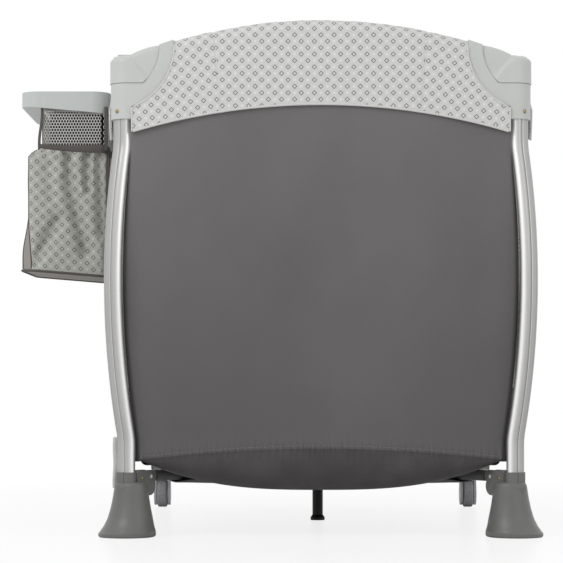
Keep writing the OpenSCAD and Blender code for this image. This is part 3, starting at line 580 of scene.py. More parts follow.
# The tint follows the fold bumps, darker where they sink: painted shade in the folds.
belly_cloth_painted_shade.tint(folds.step(0.3, 0.75), (58, 55, 56), (70, 67, 68))
belly_cloth_painted_shade.relief(folds + belly_cloth_painted_shade.place.noise(400, 2.0) * 0.12, 0.3, 0.002)


def band_edge(s):
    return BAND_Z - BAND_RADIUS + np.sqrt(BAND_RADIUS**2 - np.asarray(s) ** 2)


def panel_v(z):
    return PANEL_V + PANEL_LEAN * (BAND_Z - z) / (BAND_Z - PANEL_LOW)


def seam_z(s):
    return FLOOR_SEAM_Z - FLOOR_SEAM_FALL * (np.abs(s) / 0.30) ** 1.9


def belly_z(s):
    return BELLY_Z + (BELLY_END_Z - BELLY_Z) * np.minimum(np.abs(s) / 0.298, 1) ** 2.9


def skirt_z(s):
    return SKIRT_LOW + SKIRT_RISE * np.minimum(np.abs(s) / LEG_Y, 1) ** 2.4


def gathers(s):
    """Uneven small folds along the floor seam, from 0 to 1."""
    return 0.5 + 0.5 * np.sin(s * 2 * math.pi / GATHER_PITCH + 2.2 * np.sin(s * 37))


def end_panel(side, half):
    cols, rows, low_rows = 110, 64, 18
    share = np.linspace(0, 1, cols)
    points, cut = [], []
    for r in range(rows + low_rows):
        if r < rows:
            t = r / (rows - 1)
            s = share * 0.30
            for _ in range(4):
                z = band_edge(s) + PANEL_TUCK + t * (seam_z(s) - band_edge(s) - PANEL_TUCK)
                s = share * (LEG_X + leg_out(z) / math.sqrt(2) - PANEL_EDGE)
            v = panel_v(z)
            v = v + PANEL_TURN * np.exp(-(((s[-1] - s) / PANEL_TURN_WIDE) ** 2)) * ease(t * 8)
            v = v - GATHER_DEEP * np.exp(-((z - seam_z(s)) / GATHER_TALL) ** 2) * gathers(s)
        else:
            f = (r - rows + 1) / low_rows
            s = share * (LEG_X + leg_out(0.12) / math.sqrt(2) - PANEL_EDGE)
            top, low = seam_z(s), np.minimum(belly_z(s), seam_z(s) - 0.001)
            z = top - (top - low) * np.sin(f * math.pi / 2)
            room = np.minimum((top - low) / 0.05, 1)
            v = panel_v(top) + BELLY_IN * (1 - np.cos(f * math.pi / 2)) * room
            v = v - BELLY_OUT * np.sin(math.pi * f) * room - GATHER_LOW_DEEP * np.exp(-f * 7) * gathers(s)
        row = on_wall(side, half, s, v, z)
        soft = ripple(row, 8.0) * 0.0016 + ripple(row, 22.0, 5.0) * 0.0006
        taut = np.exp(-(((share - 1) / 0.10) ** 2))
        soft = soft * (1 - 0.8 * taut) * (0.15 if r < 2 else 1)
        points.append(on_wall(side, half, s, v + soft, z))
        cut.append(np.stack([s, z], axis=-1))
    points, cut = np.concatenate(points), np.concatenate(cut)
    panel = skin(f"end_panel_{side}_{half}", points, weave(rows + low_rows, cols), panel_cloth, belly_cloth_painted_shade)
    for face in panel.data.polygons:
        face.material_index = int(face.index // (cols - 1) >= rows - 1)
    cut_map(panel, cut)
    face_out_from(panel, (0, 0, 0.4))
    solid(panel, CLOTH)
    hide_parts("end_panel_" + side)
    leg = "leg_" + corner_of(side, half)
    return gather(panel, side, half)


for side in ("front", "rear"):
    for half in SIDES[side]:
        end_panel(side, half)

# Floor cloth: the nylon under the struts that closes the yard from below, sewn to the walls, in the belly's
# darker colour of painted shade. Pale webbing tabs show over the struts near the feet.
SLING_Z = 0.0830
STRUT_TURN = math.atan2(REACH_Y, REACH_X)
FOOT_PIN = (0.281, 0.438, 0.097)


def foot_pin(corner):
    """Where the strut of a corner turns in its foot."""
    sx, sy = CORNERS[corner]
    return sx * FOOT_PIN[0], sy * FOOT_PIN[1], FOOT_PIN[2]


def draw_in(piece, corner):
    """A quarter of the floor rides on its strut."""
    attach(piece, "strut_" + corner)
    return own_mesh(piece)


def floor_quarter(corner):
    sx, sy = CORNERS[corner]
    cols, rows = 40, 56
    half_x, half_y, cut_corner, hole = 0.298, 0.430, 0.130, 0.0105
    points = []
    for y in np.linspace(0, half_y, rows):
        limit = half_x - max(0.0, y - (half_y - cut_corner))
        start = math.sqrt(max(0.0, hole**2 - y**2))
        x = start + (limit - start) * np.linspace(0, 1, cols)
        edge = np.minimum((limit - x) / 0.04, 1) * min((half_y - y) / 0.04, 1)
        near_end, near_side = 1 - ease((half_y - y) / 0.08), 1 - ease((half_x - x) / 0.06)
        rim = near_end * (belly_z(x) + 0.004) + near_side * skirt_z(y)
        rim = rim / np.maximum(near_end + near_side, 1e-6)
        z = SLING_Z + np.maximum(near_end, near_side) * (rim - SLING_Z)
        z = z + 0.0008 * np.sin(x * 31 + y * 17) * edge
        points.append(np.stack([sx * x, np.full(cols, sy * y), z], axis=-1))
    quarter = skin("floor_cloth_" + corner, np.concatenate(points), weave(rows, cols), belly_cloth_painted_shade)
    face_out_from(quarter, (0, 0, 1))
    solid(quarter, CLOTH, 0.0)
    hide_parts("floor_sling")
    return draw_in(quarter, corner)


for corner in CORNERS:
    floor_quarter(corner)

webbing = Finish("pale_webbing", srgb(204, 206, 202), 0.75)
ribs = (webbing.place.part(0) * 5200).math("SINE") + (webbing.place.part(2) * 5200).math("SINE")
webbing.relief(ribs, 0.35, 0.0005)
webbing.mottle(260, 3.0, (194, 196, 192), (214, 216, 212))
TAB_OUT, TAB_IN, TAB_Y, TAB_Z, TAB_TALL = 0.275, 0.2475, 0.428, 0.1066, 0.0105
tab_k, tab_x = np.meshgrid(np.linspace(0, 1, 6), np.linspace(TAB_OUT, TAB_IN, 12), indexing="ij")
tab_y = TAB_Y + 0.004 * np.sin(tab_k * math.pi) - 0.25 * (TAB_OUT - tab_x)
tab_z = TAB_Z + TAB_TALL * tab_k - 0.12 * (TAB_OUT - tab_x) * tab_k
for corner, (sx, sy) in CORNERS.items():
    strip = np.stack([sx * tab_x, sy * tab_y, tab_z], axis=-1).reshape(-1, 3)
    tab = skin("floor_tab_" + corner, strip, weave(*tab_k.shape), webbing)
    face_out_from(tab, (0, 0, 0.11))
    solid(tab, 0.0014)
    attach(tab, "strut_" + corner)

# Rail covers: padded sleeves over the top rails, cut from printed cotton with a seam near each
# end of the arch. A skirt hangs from them inside and outside, with a narrow piped hem.
PAD_RADIUS = 0.020
CROWN_END, ARCH_END = 0.809, 0.83465
CROWN_SIDE, ARCH_SIDE = 0.793, 2.7931
SIDE_DROP, SIDE_RADIUS = 0.008, 2.400
WING_RADIUS, WING_BACK, WING_Z = 0.1042, 0.0195, 0.786
COVER_GAP, COVER_WALL = 0.017, 0.0026
COVER_TURN, COVER_SEAM, COVER_MID_Z = math.radians(4.7), 0.163, 0.72

print_cloth = Finish("printed_cotton", srgb(208, 208, 206), 0.78, Sheen_Weight=0.15)
PITCH, ROW = 0.0210, 0.0206


def lattice(cut, shift_u, shift_v):
    """Distances along and across from the nearest spot of one half of the lattice, in metres."""
    u = ((cut.part(0) / PITCH + shift_u).math("FRACT") - 0.5).math("ABSOLUTE") * PITCH
    v = ((cut.part(1) / ROW + shift_v).math("FRACT") - 0.5).math("ABSOLUTE") * ROW
    return u, v


def diamond_print(finish, ground, ink, dot):
    """Small diamond outlines in rows, with pale dots between them and a faint lattice behind."""
    cut = finish.cut
    first, second = lattice(cut, 0.5, 0.5), lattice(cut, 0.0, 0.0)
    size = (first[0] + first[1]).math("MINIMUM", second[0] + second[1])
    outline = (size - 0.0035).math("ABSOLUTE").step(0.0010, 0.0005)
    third, fourth = lattice(cut, 0.0, 0.5), lattice(cut, 0.5, 0.0)
    spot = [(u * u + v * v).math("SQRT") for u, v in (third, fourth)]
    dots = spot[0].math("MINIMUM", spot[1]).step(0.0026, 0.0015) * 0.8
    heart = size.step(0.0017, 0.0010)
    cross = (third[0] + third[1]).math("MINIMUM", fourth[0] + fourth[1])
    lines = (cross - 0.0052).math("ABSOLUTE").step(0.0008, 0.0003) * 0.35
    speck = finish.place.noise(900, 3.0, 0.7).step(0.42, 0.62) * 0.35
    base = speck.colours(ground, tuple(c * 0.80 for c in ground))
    base = (lines + heart * 0.4).colours(base, tuple(min(1, c * 1.12) for c in ground))
    base = dots.colours(base, dot)
    outline.colours(base, ink).into(finish.shader, "Base Color")
    warp = (cut.part(0) * 6200).math("SINE") + (cut.part(1) * 6200).math("SINE")
    (warp * 0.2 + finish.place.noise(90, 3.0) * 0.8).bumps(0.22, 0.0008).into(finish.shader, "Normal")


diamond_print(print_cloth, srgb(212, 212, 211), srgb(96, 96, 96), srgb(232, 232, 231))


def cover_end(span, z):
    """How far the cloth runs toward the corner at a height, round the corner's curved edge."""
    inside = WING_RADIUS**2 - (z - WING_Z) ** 2
    reach = span + WING_BACK - np.sqrt(np.maximum(inside, 0))
    return np.where(inside > 0, np.minimum(reach, span - COVER_GAP), span - COVER_GAP)


def rail_cover(side, half):
    """Half a cover, from its outer hem over the rail to its inner hem; returns its hem and end lines."""
    along = WALLS[side][1]
    span, arch, crown = (LEG_X, ARCH_END, CROWN_END) if along == "x" else (LEG_Y, ARCH_SIDE, CROWN_SIDE)
    low_z, low_radius = (BAND_Z, BAND_RADIUS) if along == "x" else (BAND_Z - SIDE_DROP, SIDE_RADIUS)
    cols = 150 if along == "x" else 200
    share = np.linspace(0, 1, cols)
    profile = [("out", t) for t in np.linspace(0, 1, 26)] + [("top", t) for t in np.linspace(0, 1, 17)[1:-1]]
    profile += [("in", t) for t in np.linspace(1, 0, 16)]
    points, cut, turned_cut, past, hem, end = [], [], [], [], [], []
    for kind, t in profile:
        s = share * (span - 0.05)
        for _ in range(8):
            centre = crown - arch + np.sqrt(arch**2 - s**2)
            low = low_z - low_radius + np.sqrt(low_radius**2 - s**2)
            angle = math.pi * t
            z = centre + PAD_RADIUS * math.sin(angle) if kind == "top" else low + t * (centre - low)
            s = share * cover_end(span, z)
        if kind == "top":
            v = np.full(cols, -PAD_RADIUS * math.cos(angle))
            face = np.stack([v / PAD_RADIUS, np.full(cols, math.sin(angle))], axis=-1)
            length = centre + PAD_RADIUS * angle
        else:
            v = np.full(cols, -PAD_RADIUS if kind == "out" else PAD_RADIUS)
            face = np.stack([np.sign(v), np.zeros(cols)], axis=-1)
            length = z if kind == "out" else centre + math.pi * PAD_RADIUS + (centre - z)
        seam_s = COVER_SEAM + 0.010 * (z - COVER_MID_Z) / 0.1
        puff = 0.0016 * math.sin(math.pi * t) if kind == "out" else 0.0008
        puff = puff - 0.0016 * np.exp(-(((s - seam_s) / 0.0022) ** 2)) * (kind != "in") * (along == "x")
        row = on_wall(side, half, s, v, z)
        puff = puff + (ripple(row, 14.0, 3.0) * 0.0011 + ripple(row, 45.0, 8.0) * 0.0004) * (share < 0.985)
        v, z = v + face[:, 0] * puff, z + face[:, 1] * puff
        points.append(on_wall(side, half, s, v, z))
        du, dv = s - COVER_SEAM, length - COVER_MID_Z
        c, k = math.cos(COVER_TURN), math.sin(COVER_TURN)
        sign = -1 if half in ("left", "front") else 1
        cut.append(np.stack([sign * s, length], axis=-1))
        turned_s, turned_z = COVER_SEAM + du * c - dv * k, COVER_MID_Z + du * k + dv * c
        turned_cut.append(np.stack([sign * turned_s, turned_z], axis=-1))
        past.append(s - seam_s)
        if kind == "out" and t == 0:
            hem = points[-1]
        if kind != "in":
            end.append(points[-1][-1])
    cover = skin(f"rail_cover_{side}_{half}", np.concatenate(points), weave(len(profile), cols), print_cloth)
    past = np.array(past)
    past = past[:-1, :-1] + past[:-1, 1:] + past[1:, :-1] + past[1:, 1:] > 0
    cut_map(cover, np.concatenate(cut), np.concatenate(turned_cut), past.ravel())
    face_out_from(cover, on_wall(side, half, 0.1, 0.0, np.array(0.74)))
    solid(cover, COVER_WALL)
    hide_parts("rail_cover_" + side)
    gather(cover, side, half)
    return hem[::2], end


hems = {(side, half): rail_cover(side, half) for side in SIDES for half in SIDES[side]}

# Hems: a narrow tube of pale cloth sewn into the lower edge and the corner ends of every cover, and
# the row of stitches above the gathered floor seam of each end panel.
hem_cloth = Finish("pale_piping", srgb(214, 213, 211), 0.8)
hem_cloth.grain(1500, 2.0, 0.2, 0.0004)
hem_cloth.mottle(200, 3.0, (202, 201, 199), (220, 219, 217))


class Nodes:
    """A small geometry tree with named sizes."""

    def __init__(self, name, **sizes):
        self.tree = bpy.data.node_groups.new(name, "GeometryNodeTree")
        face = self.tree.interface
        face.new_socket("Geometry", in_out="INPUT", socket_type="NodeSocketGeometry")
        self.keys = {}
        for size, kind in sizes.items():
            self.keys[size] = face.new_socket(size, in_out="INPUT", socket_type=kind).identifier
        face.new_socket("Geometry", in_out="OUTPUT", socket_type="NodeSocketGeometry")
        self.start = self.tree.nodes.new("NodeGroupInput")
        self.end = self.tree.nodes.new("NodeGroupOutput")

    def add(self, kind, settings=None, **links):
        made = self.tree.nodes.new(kind)
        for name, value in (settings or {}).items():
            setattr(made, name, value)
        for name, value in links.items():
            socket = made.inputs[name.replace("_", " ")]
            if hasattr(value, "is_output"):
                self.tree.links.new(value, socket)
            else:
                socket.default_value = value
        return made

    def size(self, name):
        return self.start.outputs[name]

    def close(self, shape):
        whole = self.add("GeometryNodeRealizeInstances", Geometry=shape)
        painted = self.add("GeometryNodeSetMaterial", Geometry=whole.outputs[0], Material=self.size("Finish"))
        self.tree.links.new(painted.outputs[0], self.end.inputs[0])

    def made(self, name, points, edges, facing=None, **values):
        """Runs the tree on points, with the way each faces, and edges, and keeps a plain mesh."""
        mesh = bpy.data.meshes.new(name)
        mesh.from_pydata([tuple(p) for p in points], [tuple(e) for e in edges], [])
        if facing is not None:
            way = mesh.attributes.new("facing", "FLOAT_VECTOR", "POINT")
            way.data.foreach_set("vector", np.array(facing, np.float32).ravel())
        piece = bpy.data.objects.new(name, mesh)
        bpy.context.scene.collection.objects.link(piece)
        run = piece.modifiers.new("make", "NODES")
        run.node_group = self.tree
        for size, value in values.items():
            run[self.keys[size]] = value.material if isinstance(value, Finish) else value
        return settle(piece)


tube = Nodes("sewn_tube", Radius="NodeSocketFloat", Sides="NodeSocketInt", Finish="NodeSocketMaterial")
path = tube.add("GeometryNodeMeshToCurve", Mesh=tube.start.outputs[0])
ring = tube.add("GeometryNodeCurvePrimitiveCircle", Resolution=tube.size("Sides"), Radius=tube.size("Radius"))
swept = tube.add(
    "GeometryNodeCurveToMesh", Curve=path.outputs[0], Profile_Curve=ring.outputs[0], Fill_Caps=True
)
smooth = tube.add("GeometryNodeSetShadeSmooth", Geometry=swept.outputs[0])
tube.close(smooth.outputs[0])


def chain(points):
    return [(i, i + 1) for i in range(len(points) - 1)]


for (side, half), lines in hems.items():
    for name, line, radius in zip(("hem", "cover_end"), lines, (0.0019, 0.0015)):
        hem = tube.made(f"{name}_{side}_{half}", line, chain(line), Radius=radius, Sides=8, Finish=hem_cloth)
        gather(hem, side, half)

thread = Finish("grey_thread", srgb(122, 119, 119), 0.7)
thread.grain(2500, 2.0, 0.3, 0.0003)
thread.mottle(400, 2.0, (112, 109, 109), (130, 127, 127))
for side in ("front", "rear"):
    for half in SIDES[side]:
        start = np.arange(0.004, 0.282, 0.0064)
        s = np.stack([start, start + 0.0040], axis=-1).ravel()
        z = seam_z(s) + 0.0046 + 0.0006 * np.sin(s * 410)
        spots = on_wall(side, half, s, panel_v(z) - 0.0052, z)
        pairs = [(2 * i, 2 * i + 1) for i in range(len(start))]
        name = f"seam_stitches_{side}_{half}"
        sewn = tube.made(name, spots, pairs, Radius=0.0006, Sides=6, Finish=thread)
        gather(sewn, side, half)

# Net sides: white knotted net in the long sides, over a dark cloth skirt, with a cloth edge down
# each leg. The net is knitted in six-sided holes and sewn to the cover and the skirt. At the left
# a pale flap hangs loose beside each leg.
NET_PITCH, NET_STRAND = 0.0085, 0.00055
NET_LOW, NET_LAP, NET_EDGE_WIDE, NET_EDGE_TOP = 0.236, 0.004, 0.030, 0.632

net_yarn = Finish("net_yarn", srgb(214, 212, 206), 0.7)
net_yarn.mottle(1200, 2.0, (200, 198, 191), (222, 220, 215))


def hex_net(inside, u_span, z_low, z_high, pitch):
    """Points and edges of a six-sided net over a window, kept where inside says so."""
    step, tall = pitch / 2, pitch * math.sqrt(3) / 2
    cols, rows = int(u_span / step) + 1, int((z_high - z_low) / tall) + 1
    i, j = np.meshgrid(np.arange(cols), np.arange(rows), indexing="ij")
    u = i * step
    z = z_low + j * tall + np.where((i + j) % 2 == 1, 1, -1) * pitch * 0.1443
    keep = inside(u, z)
    index = np.full(keep.shape, -1)
    index[keep] = np.arange(keep.sum())
    edges = []
    level = keep[:-1] & keep[1:]
    edges.append(np.stack([index[:-1][level], index[1:][level]], axis=-1))
    upright = keep[:, :-1] & keep[:, 1:] & ((i + j) % 2 == 1)[:, :-1]
    edges.append(np.stack([index[:, :-1][upright], index[:, 1:][upright]], axis=-1))
    return u[keep], z[keep], np.concatenate(edges)


def side_edge(z):
    return LEG_Y + leg_out(z) / math.sqrt(2) - PANEL_EDGE


def side_low(s):
    low = BAND_Z - SIDE_DROP
    return low - SIDE_RADIUS + np.sqrt(SIDE_RADIUS**2 - np.asarray(s) ** 2)


# The flap from its sewn edge to its free edge: distance along the wall, and inward.
FLAP_TOP, FLAP_TALL, FLAP_WIDE = 0.160, 0.082, 0.080
FLAP_PATH = (
    (0.398, 0.0), (0.424, -0.004), (0.442, -0.0105), (0.452, -0.0150), (0.4570, -0.0162),
    (0.4595, -0.0150), (0.4602, -0.0125), (0.4585, -0.0085),
)


def side_window(u, z):
    return (u < side_edge(z) - 0.012) & (z < side_low(u) + NET_LAP)


def net_side(side, half):
    u, z, edges = hex_net(side_window, LEG_Y + 0.02, NET_LOW - 0.01, BAND_Z, NET_PITCH)
    knots = on_wall(side, half, u, panel_v(z), z)
    net = tube.made(f"net_{side}_{half}", knots, edges, Radius=NET_STRAND, Sides=4, Finish=net_yarn)
    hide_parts("mesh_side_" + side)
    gather(net, side, half)
    return net


def side_skirt(side, half):
    rows, cols = 30, 90
    share = np.linspace(0, 1, cols)
    points, cut = [], []
    for t in np.linspace(0, 1, rows):
        s = share * LEG_Y
        for _ in range(3):
            z = NET_LOW + NET_LAP - t * (NET_LOW + NET_LAP - skirt_z(s))
            s = share * side_edge(z)
        row = on_wall(side, half, s, panel_v(z), z)
        soft = ripple(row, 10.0, 2.0) * 0.0015 * (share < 0.95)
        points.append(on_wall(side, half, s, panel_v(z) - CLOTH + soft, z))
        cut.append(np.stack([s, z], axis=-1))
    skirt = skin(f"side_skirt_{side}_{half}", np.concatenate(points), weave(rows, cols), panel_cloth)
    cut_map(skirt, np.concatenate(cut))
    face_out_from(skirt, (0, 0, 0.2))
    solid(skirt, CLOTH)
    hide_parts("mesh_side_" + side)
    leg = "leg_" + corner_of(side, half)
    gather(skirt, side, half)
    return skirt


def net_edge(side, half):
    heights = np.linspace(NET_LOW - 0.02, NET_EDGE_TOP, 60)
    strip, cut = [], []
    for d in np.linspace(0, NET_EDGE_WIDE, 5):
        strip.append(on_wall(side, half, side_edge(heights) - d, panel_v(heights) - 0.0016, heights))
        cut.append(np.stack([np.full(len(heights), d), heights], axis=-1))
    edge = skin(f"net_edge_{side}_{half}", np.concatenate(strip), weave(5, len(heights)), panel_cloth)
    cut_map(edge, np.concatenate(cut))
    face_out_from(edge, (0, 0, 0.4))
    solid(edge, CLOTH)
    gather(edge, side, half)


def side_flap(side, half):
    rows, cols = 16, 22
    t, k = np.meshgrid(np.linspace(0, 1, rows), np.linspace(0, 1, cols), indexing="ij")
    z = FLAP_TOP - FLAP_TALL * t
    way = np.linspace(0, 1, len(FLAP_PATH))
    along, out = (np.interp(k, way, line) for line in np.array(FLAP_PATH).T)
    v = out + (panel_v(z) - 0.0025) * (1 - ease(k * 2.5)) - 0.0010 * np.sin(9 * t) * k - 0.001 * t * k
    row = on_wall(side, half, along.ravel(), v.ravel(), z.ravel())
    flap = skin(f"side_flap_{side}_{half}", row, weave(rows, cols), webbing)
    cut_map(flap, np.stack([k.ravel() * FLAP_WIDE, z.ravel()], axis=-1))
    face_out_from(flap, (0, 0, 0.1))
    solid(flap, CLOTH)
    gather(flap, side, half)


for side in ("left", "right"):
    for half in SIDES[side]:
        net = net_side(side, half)
        skirt = side_skirt(side, half)
        net_edge(side, half)
        if side == "left":
            side_flap(side, half)

# Mattress: four padded panels of grey quilted cloth over board, folding at three sewn lines. It
# lies loose over the struts and the hub.
PAD_LOW, PAD_TOP = 0.1140, 0.1350
PAD_X, PAD_Y, PAD_ROUND, PAD_EDGE = 0.294, 0.451, 0.04, 0.012

pad_cloth = Finish("quilted_grey_cloth", srgb(150, 150, 149), 0.8, Sheen_Weight=0.2)
quilting_and_painted_shade = (pad_cloth.place.part(0) * 95).math("SINE") * (pad_cloth.place.part(1) * 95).math("SINE")
pad_cloth.relief(quilting_and_painted_shade * 0.5 + pad_cloth.place.noise(500, 2.0) * 0.2, 0.4, 0.002)
# The colour darkens in the quilting's hollows: painted shade.
pad_cloth.tint(quilting_and_painted_shade.step(-0.6, 0.8), (136, 136, 135), (158, 158, 157))


def mattress_quarter(corner):
    sx, sy = CORNERS[corner]
    cols, rows = 60, 90
    x, y = np.meshgrid(np.linspace(0, PAD_X, cols), np.linspace(0, PAD_Y, rows))
    past_x, past_y = np.maximum(0, x - PAD_X + PAD_ROUND), np.maximum(0, y - PAD_Y + PAD_ROUND)
    round_in = np.maximum(0, np.hypot(past_x, past_y) - PAD_ROUND)
    shrink = 1 - round_in / np.maximum(np.hypot(x, y), 1e-6)
    x, y = x * shrink, y * shrink
    inside = np.clip(np.minimum(PAD_X - x, PAD_Y - y) / PAD_EDGE, 0, 1)
    swell = np.sqrt(inside * (2 - inside))
    fold = np.minimum(np.abs(y), np.abs(y - PAD_Y / 2))
    channel = np.exp(-((fold / 0.006) ** 2))
    crown = 0.0022 * np.sin(math.pi * np.clip((y % (PAD_Y / 2)) / (PAD_Y / 2), 0, 1)) * swell
    half = (PAD_TOP - PAD_LOW) / 2
    middle = (PAD_TOP + PAD_LOW) / 2
    top = middle + half * swell * (1 - 0.42 * channel) + crown
    low = middle - half * swell * (1 - 0.15 * channel)
    upper = np.stack([sx * x, sy * y, top], axis=-1).reshape(-1, 3)
    lower = np.stack([sx * x, sy * y, low], axis=-1).reshape(-1, 3)
    net = weave(rows, cols)
    faces = net + [tuple(k + len(upper) for k in f)[::-1] for f in net]
    n = len(upper)
    rim = [r * cols for r in range(rows)]
    faces += [(a, b, b + n, a + n) for a, b in zip(rim, rim[1:])]
    faces += [(b, a, a + n, b + n) for a, b in zip(range(cols - 1), range(1, cols))]
    pad = face_out(skin("mattress_" + corner, np.concatenate([upper, lower]), faces, pad_cloth))
    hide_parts("mattress")
    return draw_in(pad, corner)


for corner in CORNERS:
    mattress_quarter(corner)

# Organizer: a moulded tray that hooks over the left rail, a net wall under it, and a cloth bag
# that hangs from the net with an elastic mouth, dark bindings and a plain gusset. A dark sheet
# hangs inside net and bag as painted shade for their shaded inside.
TRAY_NEAR, TRAY_FAR = -0.330, -0.070
NET_TOP, BAG_TOP, BAG_LOW = 0.702, 0.645, 0.4335

tray_plastic = Finish("grey_tray_moulding", srgb(185, 189, 187), 0.40, Specular_IOR_Level=0.4)
tray_plastic.grain(1700, 2.0, 0.06, 0.0004)
tray_plastic.mottle(12, 3.0, (191, 195, 193), (199, 203, 201))
dress("organizer_tray", tray_plastic)

bag_cloth = Finish("printed_bag_cotton", srgb(178, 179, 173), 0.8, Sheen_Weight=0.15)
diamond_print(bag_cloth, srgb(178, 179, 172), srgb(84, 84, 81), srgb(206, 206, 200))
gusset_cloth = Finish("gusset_cloth", srgb(150, 146, 140), 0.8)
weft = gusset_cloth.place.noise(600, 3.0)
gusset_cloth.relief(weft, 0.3, 0.0006)
gusset_cloth.tint(weft, (138, 134, 128), (164, 160, 154))
binding = Finish("dark_binding", srgb(82, 78, 75), 0.75)
cords = binding.place.noise(900, 3.0)
binding.relief(cords, 0.3, 0.0005)
binding.tint(cords, (70, 66, 63), (94, 90, 86))

PLAN_X, PLAN_Y, PLAN_ROUND = 0.0660, 0.126, 0.012
BAG_X, BAG_Y = -0.423, (TRAY_NEAR + TRAY_FAR) / 2
NET_X, NET_HALF, NET_SHARE = -0.412, 0.055, 0.972
GUSSET_NEAR, GUSSET_FAR = PLAN_Y - 0.009, PLAN_Y - 0.036


def bag_plan(count):
    """Points round the bag from the near inner corner, and the run so far."""
    flat_x, flat_y = PLAN_X - PLAN_ROUND, PLAN_Y - PLAN_ROUND
    line = []
    for start, end, centre, turn in (
        ((flat_x, -PLAN_Y), (-flat_x, -PLAN_Y), (-flat_x, -flat_y), -90),
        ((-PLAN_X, -flat_y), (-PLAN_X, flat_y), (-flat_x, flat_y), 180),
        ((-flat_x, PLAN_Y), (flat_x, PLAN_Y), (flat_x, flat_y), 90),
        ((PLAN_X, flat_y), (PLAN_X, -flat_y), (flat_x, -flat_y), 0),
    ):
        line += [start, end]
        for a in np.radians(turn - np.linspace(0, 90, 9)[1:-1]):
            line.append((centre[0] + PLAN_ROUND * math.cos(a), centre[1] + PLAN_ROUND * math.sin(a)))
    line = np.array(line + line[:1])
    run = np.concatenate([[0], np.cumsum(np.hypot(*np.diff(line, axis=0).T))])
    at = np.linspace(0, run[-1], count, endpoint=False)
    return np.stack([np.interp(at, run, line[:, 0]), np.interp(at, run, line[:, 1]), at], axis=-1)


plan = bag_plan(280)
plan_x, plan_y, plan_run = plan.T
# Each hanging fold of the bag: its two ends, in x and z, its depth and its half width.
CREASES = (
    ((-0.424, 0.640), (-0.420, 0.590), 0.015, 0.007),
    ((-0.420, 0.590), (-0.391, 0.470), 0.015, 0.011),
    ((-0.391, 0.636), (-0.389, 0.570), 0.013, 0.007),
    ((-0.478, 0.450), (-0.440, 0.520), 0.012, 0.010),
    ((-0.369, 0.630), (-0.364, 0.500), 0.010, 0.009),
    ((-0.455, 0.610), (-0.448, 0.560), 0.005, 0.010),
)


def crease_depth(x, z):
    """Depth of the hanging folds on the near face of the bag."""
    depth = np.zeros_like(x)
    for (x0, z0), (x1, z1), deep, wide in CREASES:
        dx, dz = x1 - x0, z1 - z0
        t = np.clip(((x - x0) * dx + (z - z0) * dz) / (dx * dx + dz * dz), 0, 1)
        off = np.hypot(x - x0 - t * dx, z - z0 - t * dz)
        depth = np.maximum(depth, deep * np.exp(-((off / wide) ** 2)))
    return depth


def bag_ring(t):
    """Points round the bag from mouth, 0, to bottom, 1: drawn in at the mouth, full and folded below."""
    outer = np.clip(-plan_x / PLAN_X, 0, 1)
    behind = ease((plan_y + PLAN_Y) / 0.050)
    x = BAG_X + plan_x + outer * (0.018 * (1 - ease(t / 0.10)) + 0.005 * ease(t * 2 - 1))
    x = x - outer * behind * 0.021 * ease((t - 0.40) / 0.55)
    y = BAG_Y + plan_y * (1 + 0.016 * math.sin(math.pi * t))
    slope = (x - BAG_X) / PLAN_X
    z = BAG_TOP - 0.0035 * slope - 0.003 * (1 - slope**2)
    z = z + t * (BAG_LOW - 0.0055 * slope + 0.001 * plan_y / PLAN_Y - z)
    near = np.clip((-plan_y - PLAN_Y + 0.020) / 0.020, 0, 1)
    fold = crease_depth(x, z) * ease(t / 0.05) * ease((1 - t) / 0.05)
    y = y + near * (fold - 0.006 * math.sin(math.pi * t))
    soft = ripple(np.stack([x, y, z], axis=-1), 26.0, 4.0) * 0.0016 * ease((1 - t) / 0.1)
    size = np.hypot(plan_x / PLAN_X, plan_y / PLAN_Y)
    return np.stack([x + plan_x / PLAN_X / size * soft, y + plan_y / PLAN_Y / size * soft, z], axis=-1)


def hang(piece):
    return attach(piece, "organizer")


bag_rows, count = 64, len(plan)
BOTTOM_RINGS = (0.97, 0.85, 0.6, 0.3, 0.1)
rings, cut = [], []
for t in np.linspace(0, 1, bag_rows):
    rings.append(bag_ring(t))
    cut.append(np.stack([plan_run, np.full(count, BAG_TOP - t * (BAG_TOP - BAG_LOW))], axis=-1))
centre = rings[-1].mean(axis=0) - np.array([0, 0, 0.004])
for k in BOTTOM_RINGS:
    rings.append(centre + (rings[bag_rows - 1] - centre) * k)
    cut.append(rings[-1][:, :2])
points = np.concatenate(rings)
faces = weave(len(rings), count, True) + [tuple(range(len(points) - count, len(points)))]
bag = skin("organizer_bag_cloth", points, faces, bag_cloth, gusset_cloth)
plain = (np.abs(plan_x) > PLAN_X - 0.004) & (np.abs(plan_y) > GUSSET_FAR) & (np.abs(plan_y) < GUSSET_NEAR)
for face in bag.data.polygons:
    row, col = divmod(face.index, count)
    face.material_index = int(row >= bag_rows - 1 or plain[col])
cut_map(bag, np.concatenate(cut))
face_out_from(bag, (BAG_X, BAG_Y, 0.55))
solid(bag, 0.0016)
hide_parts("organizer_bag")
hang(bag)

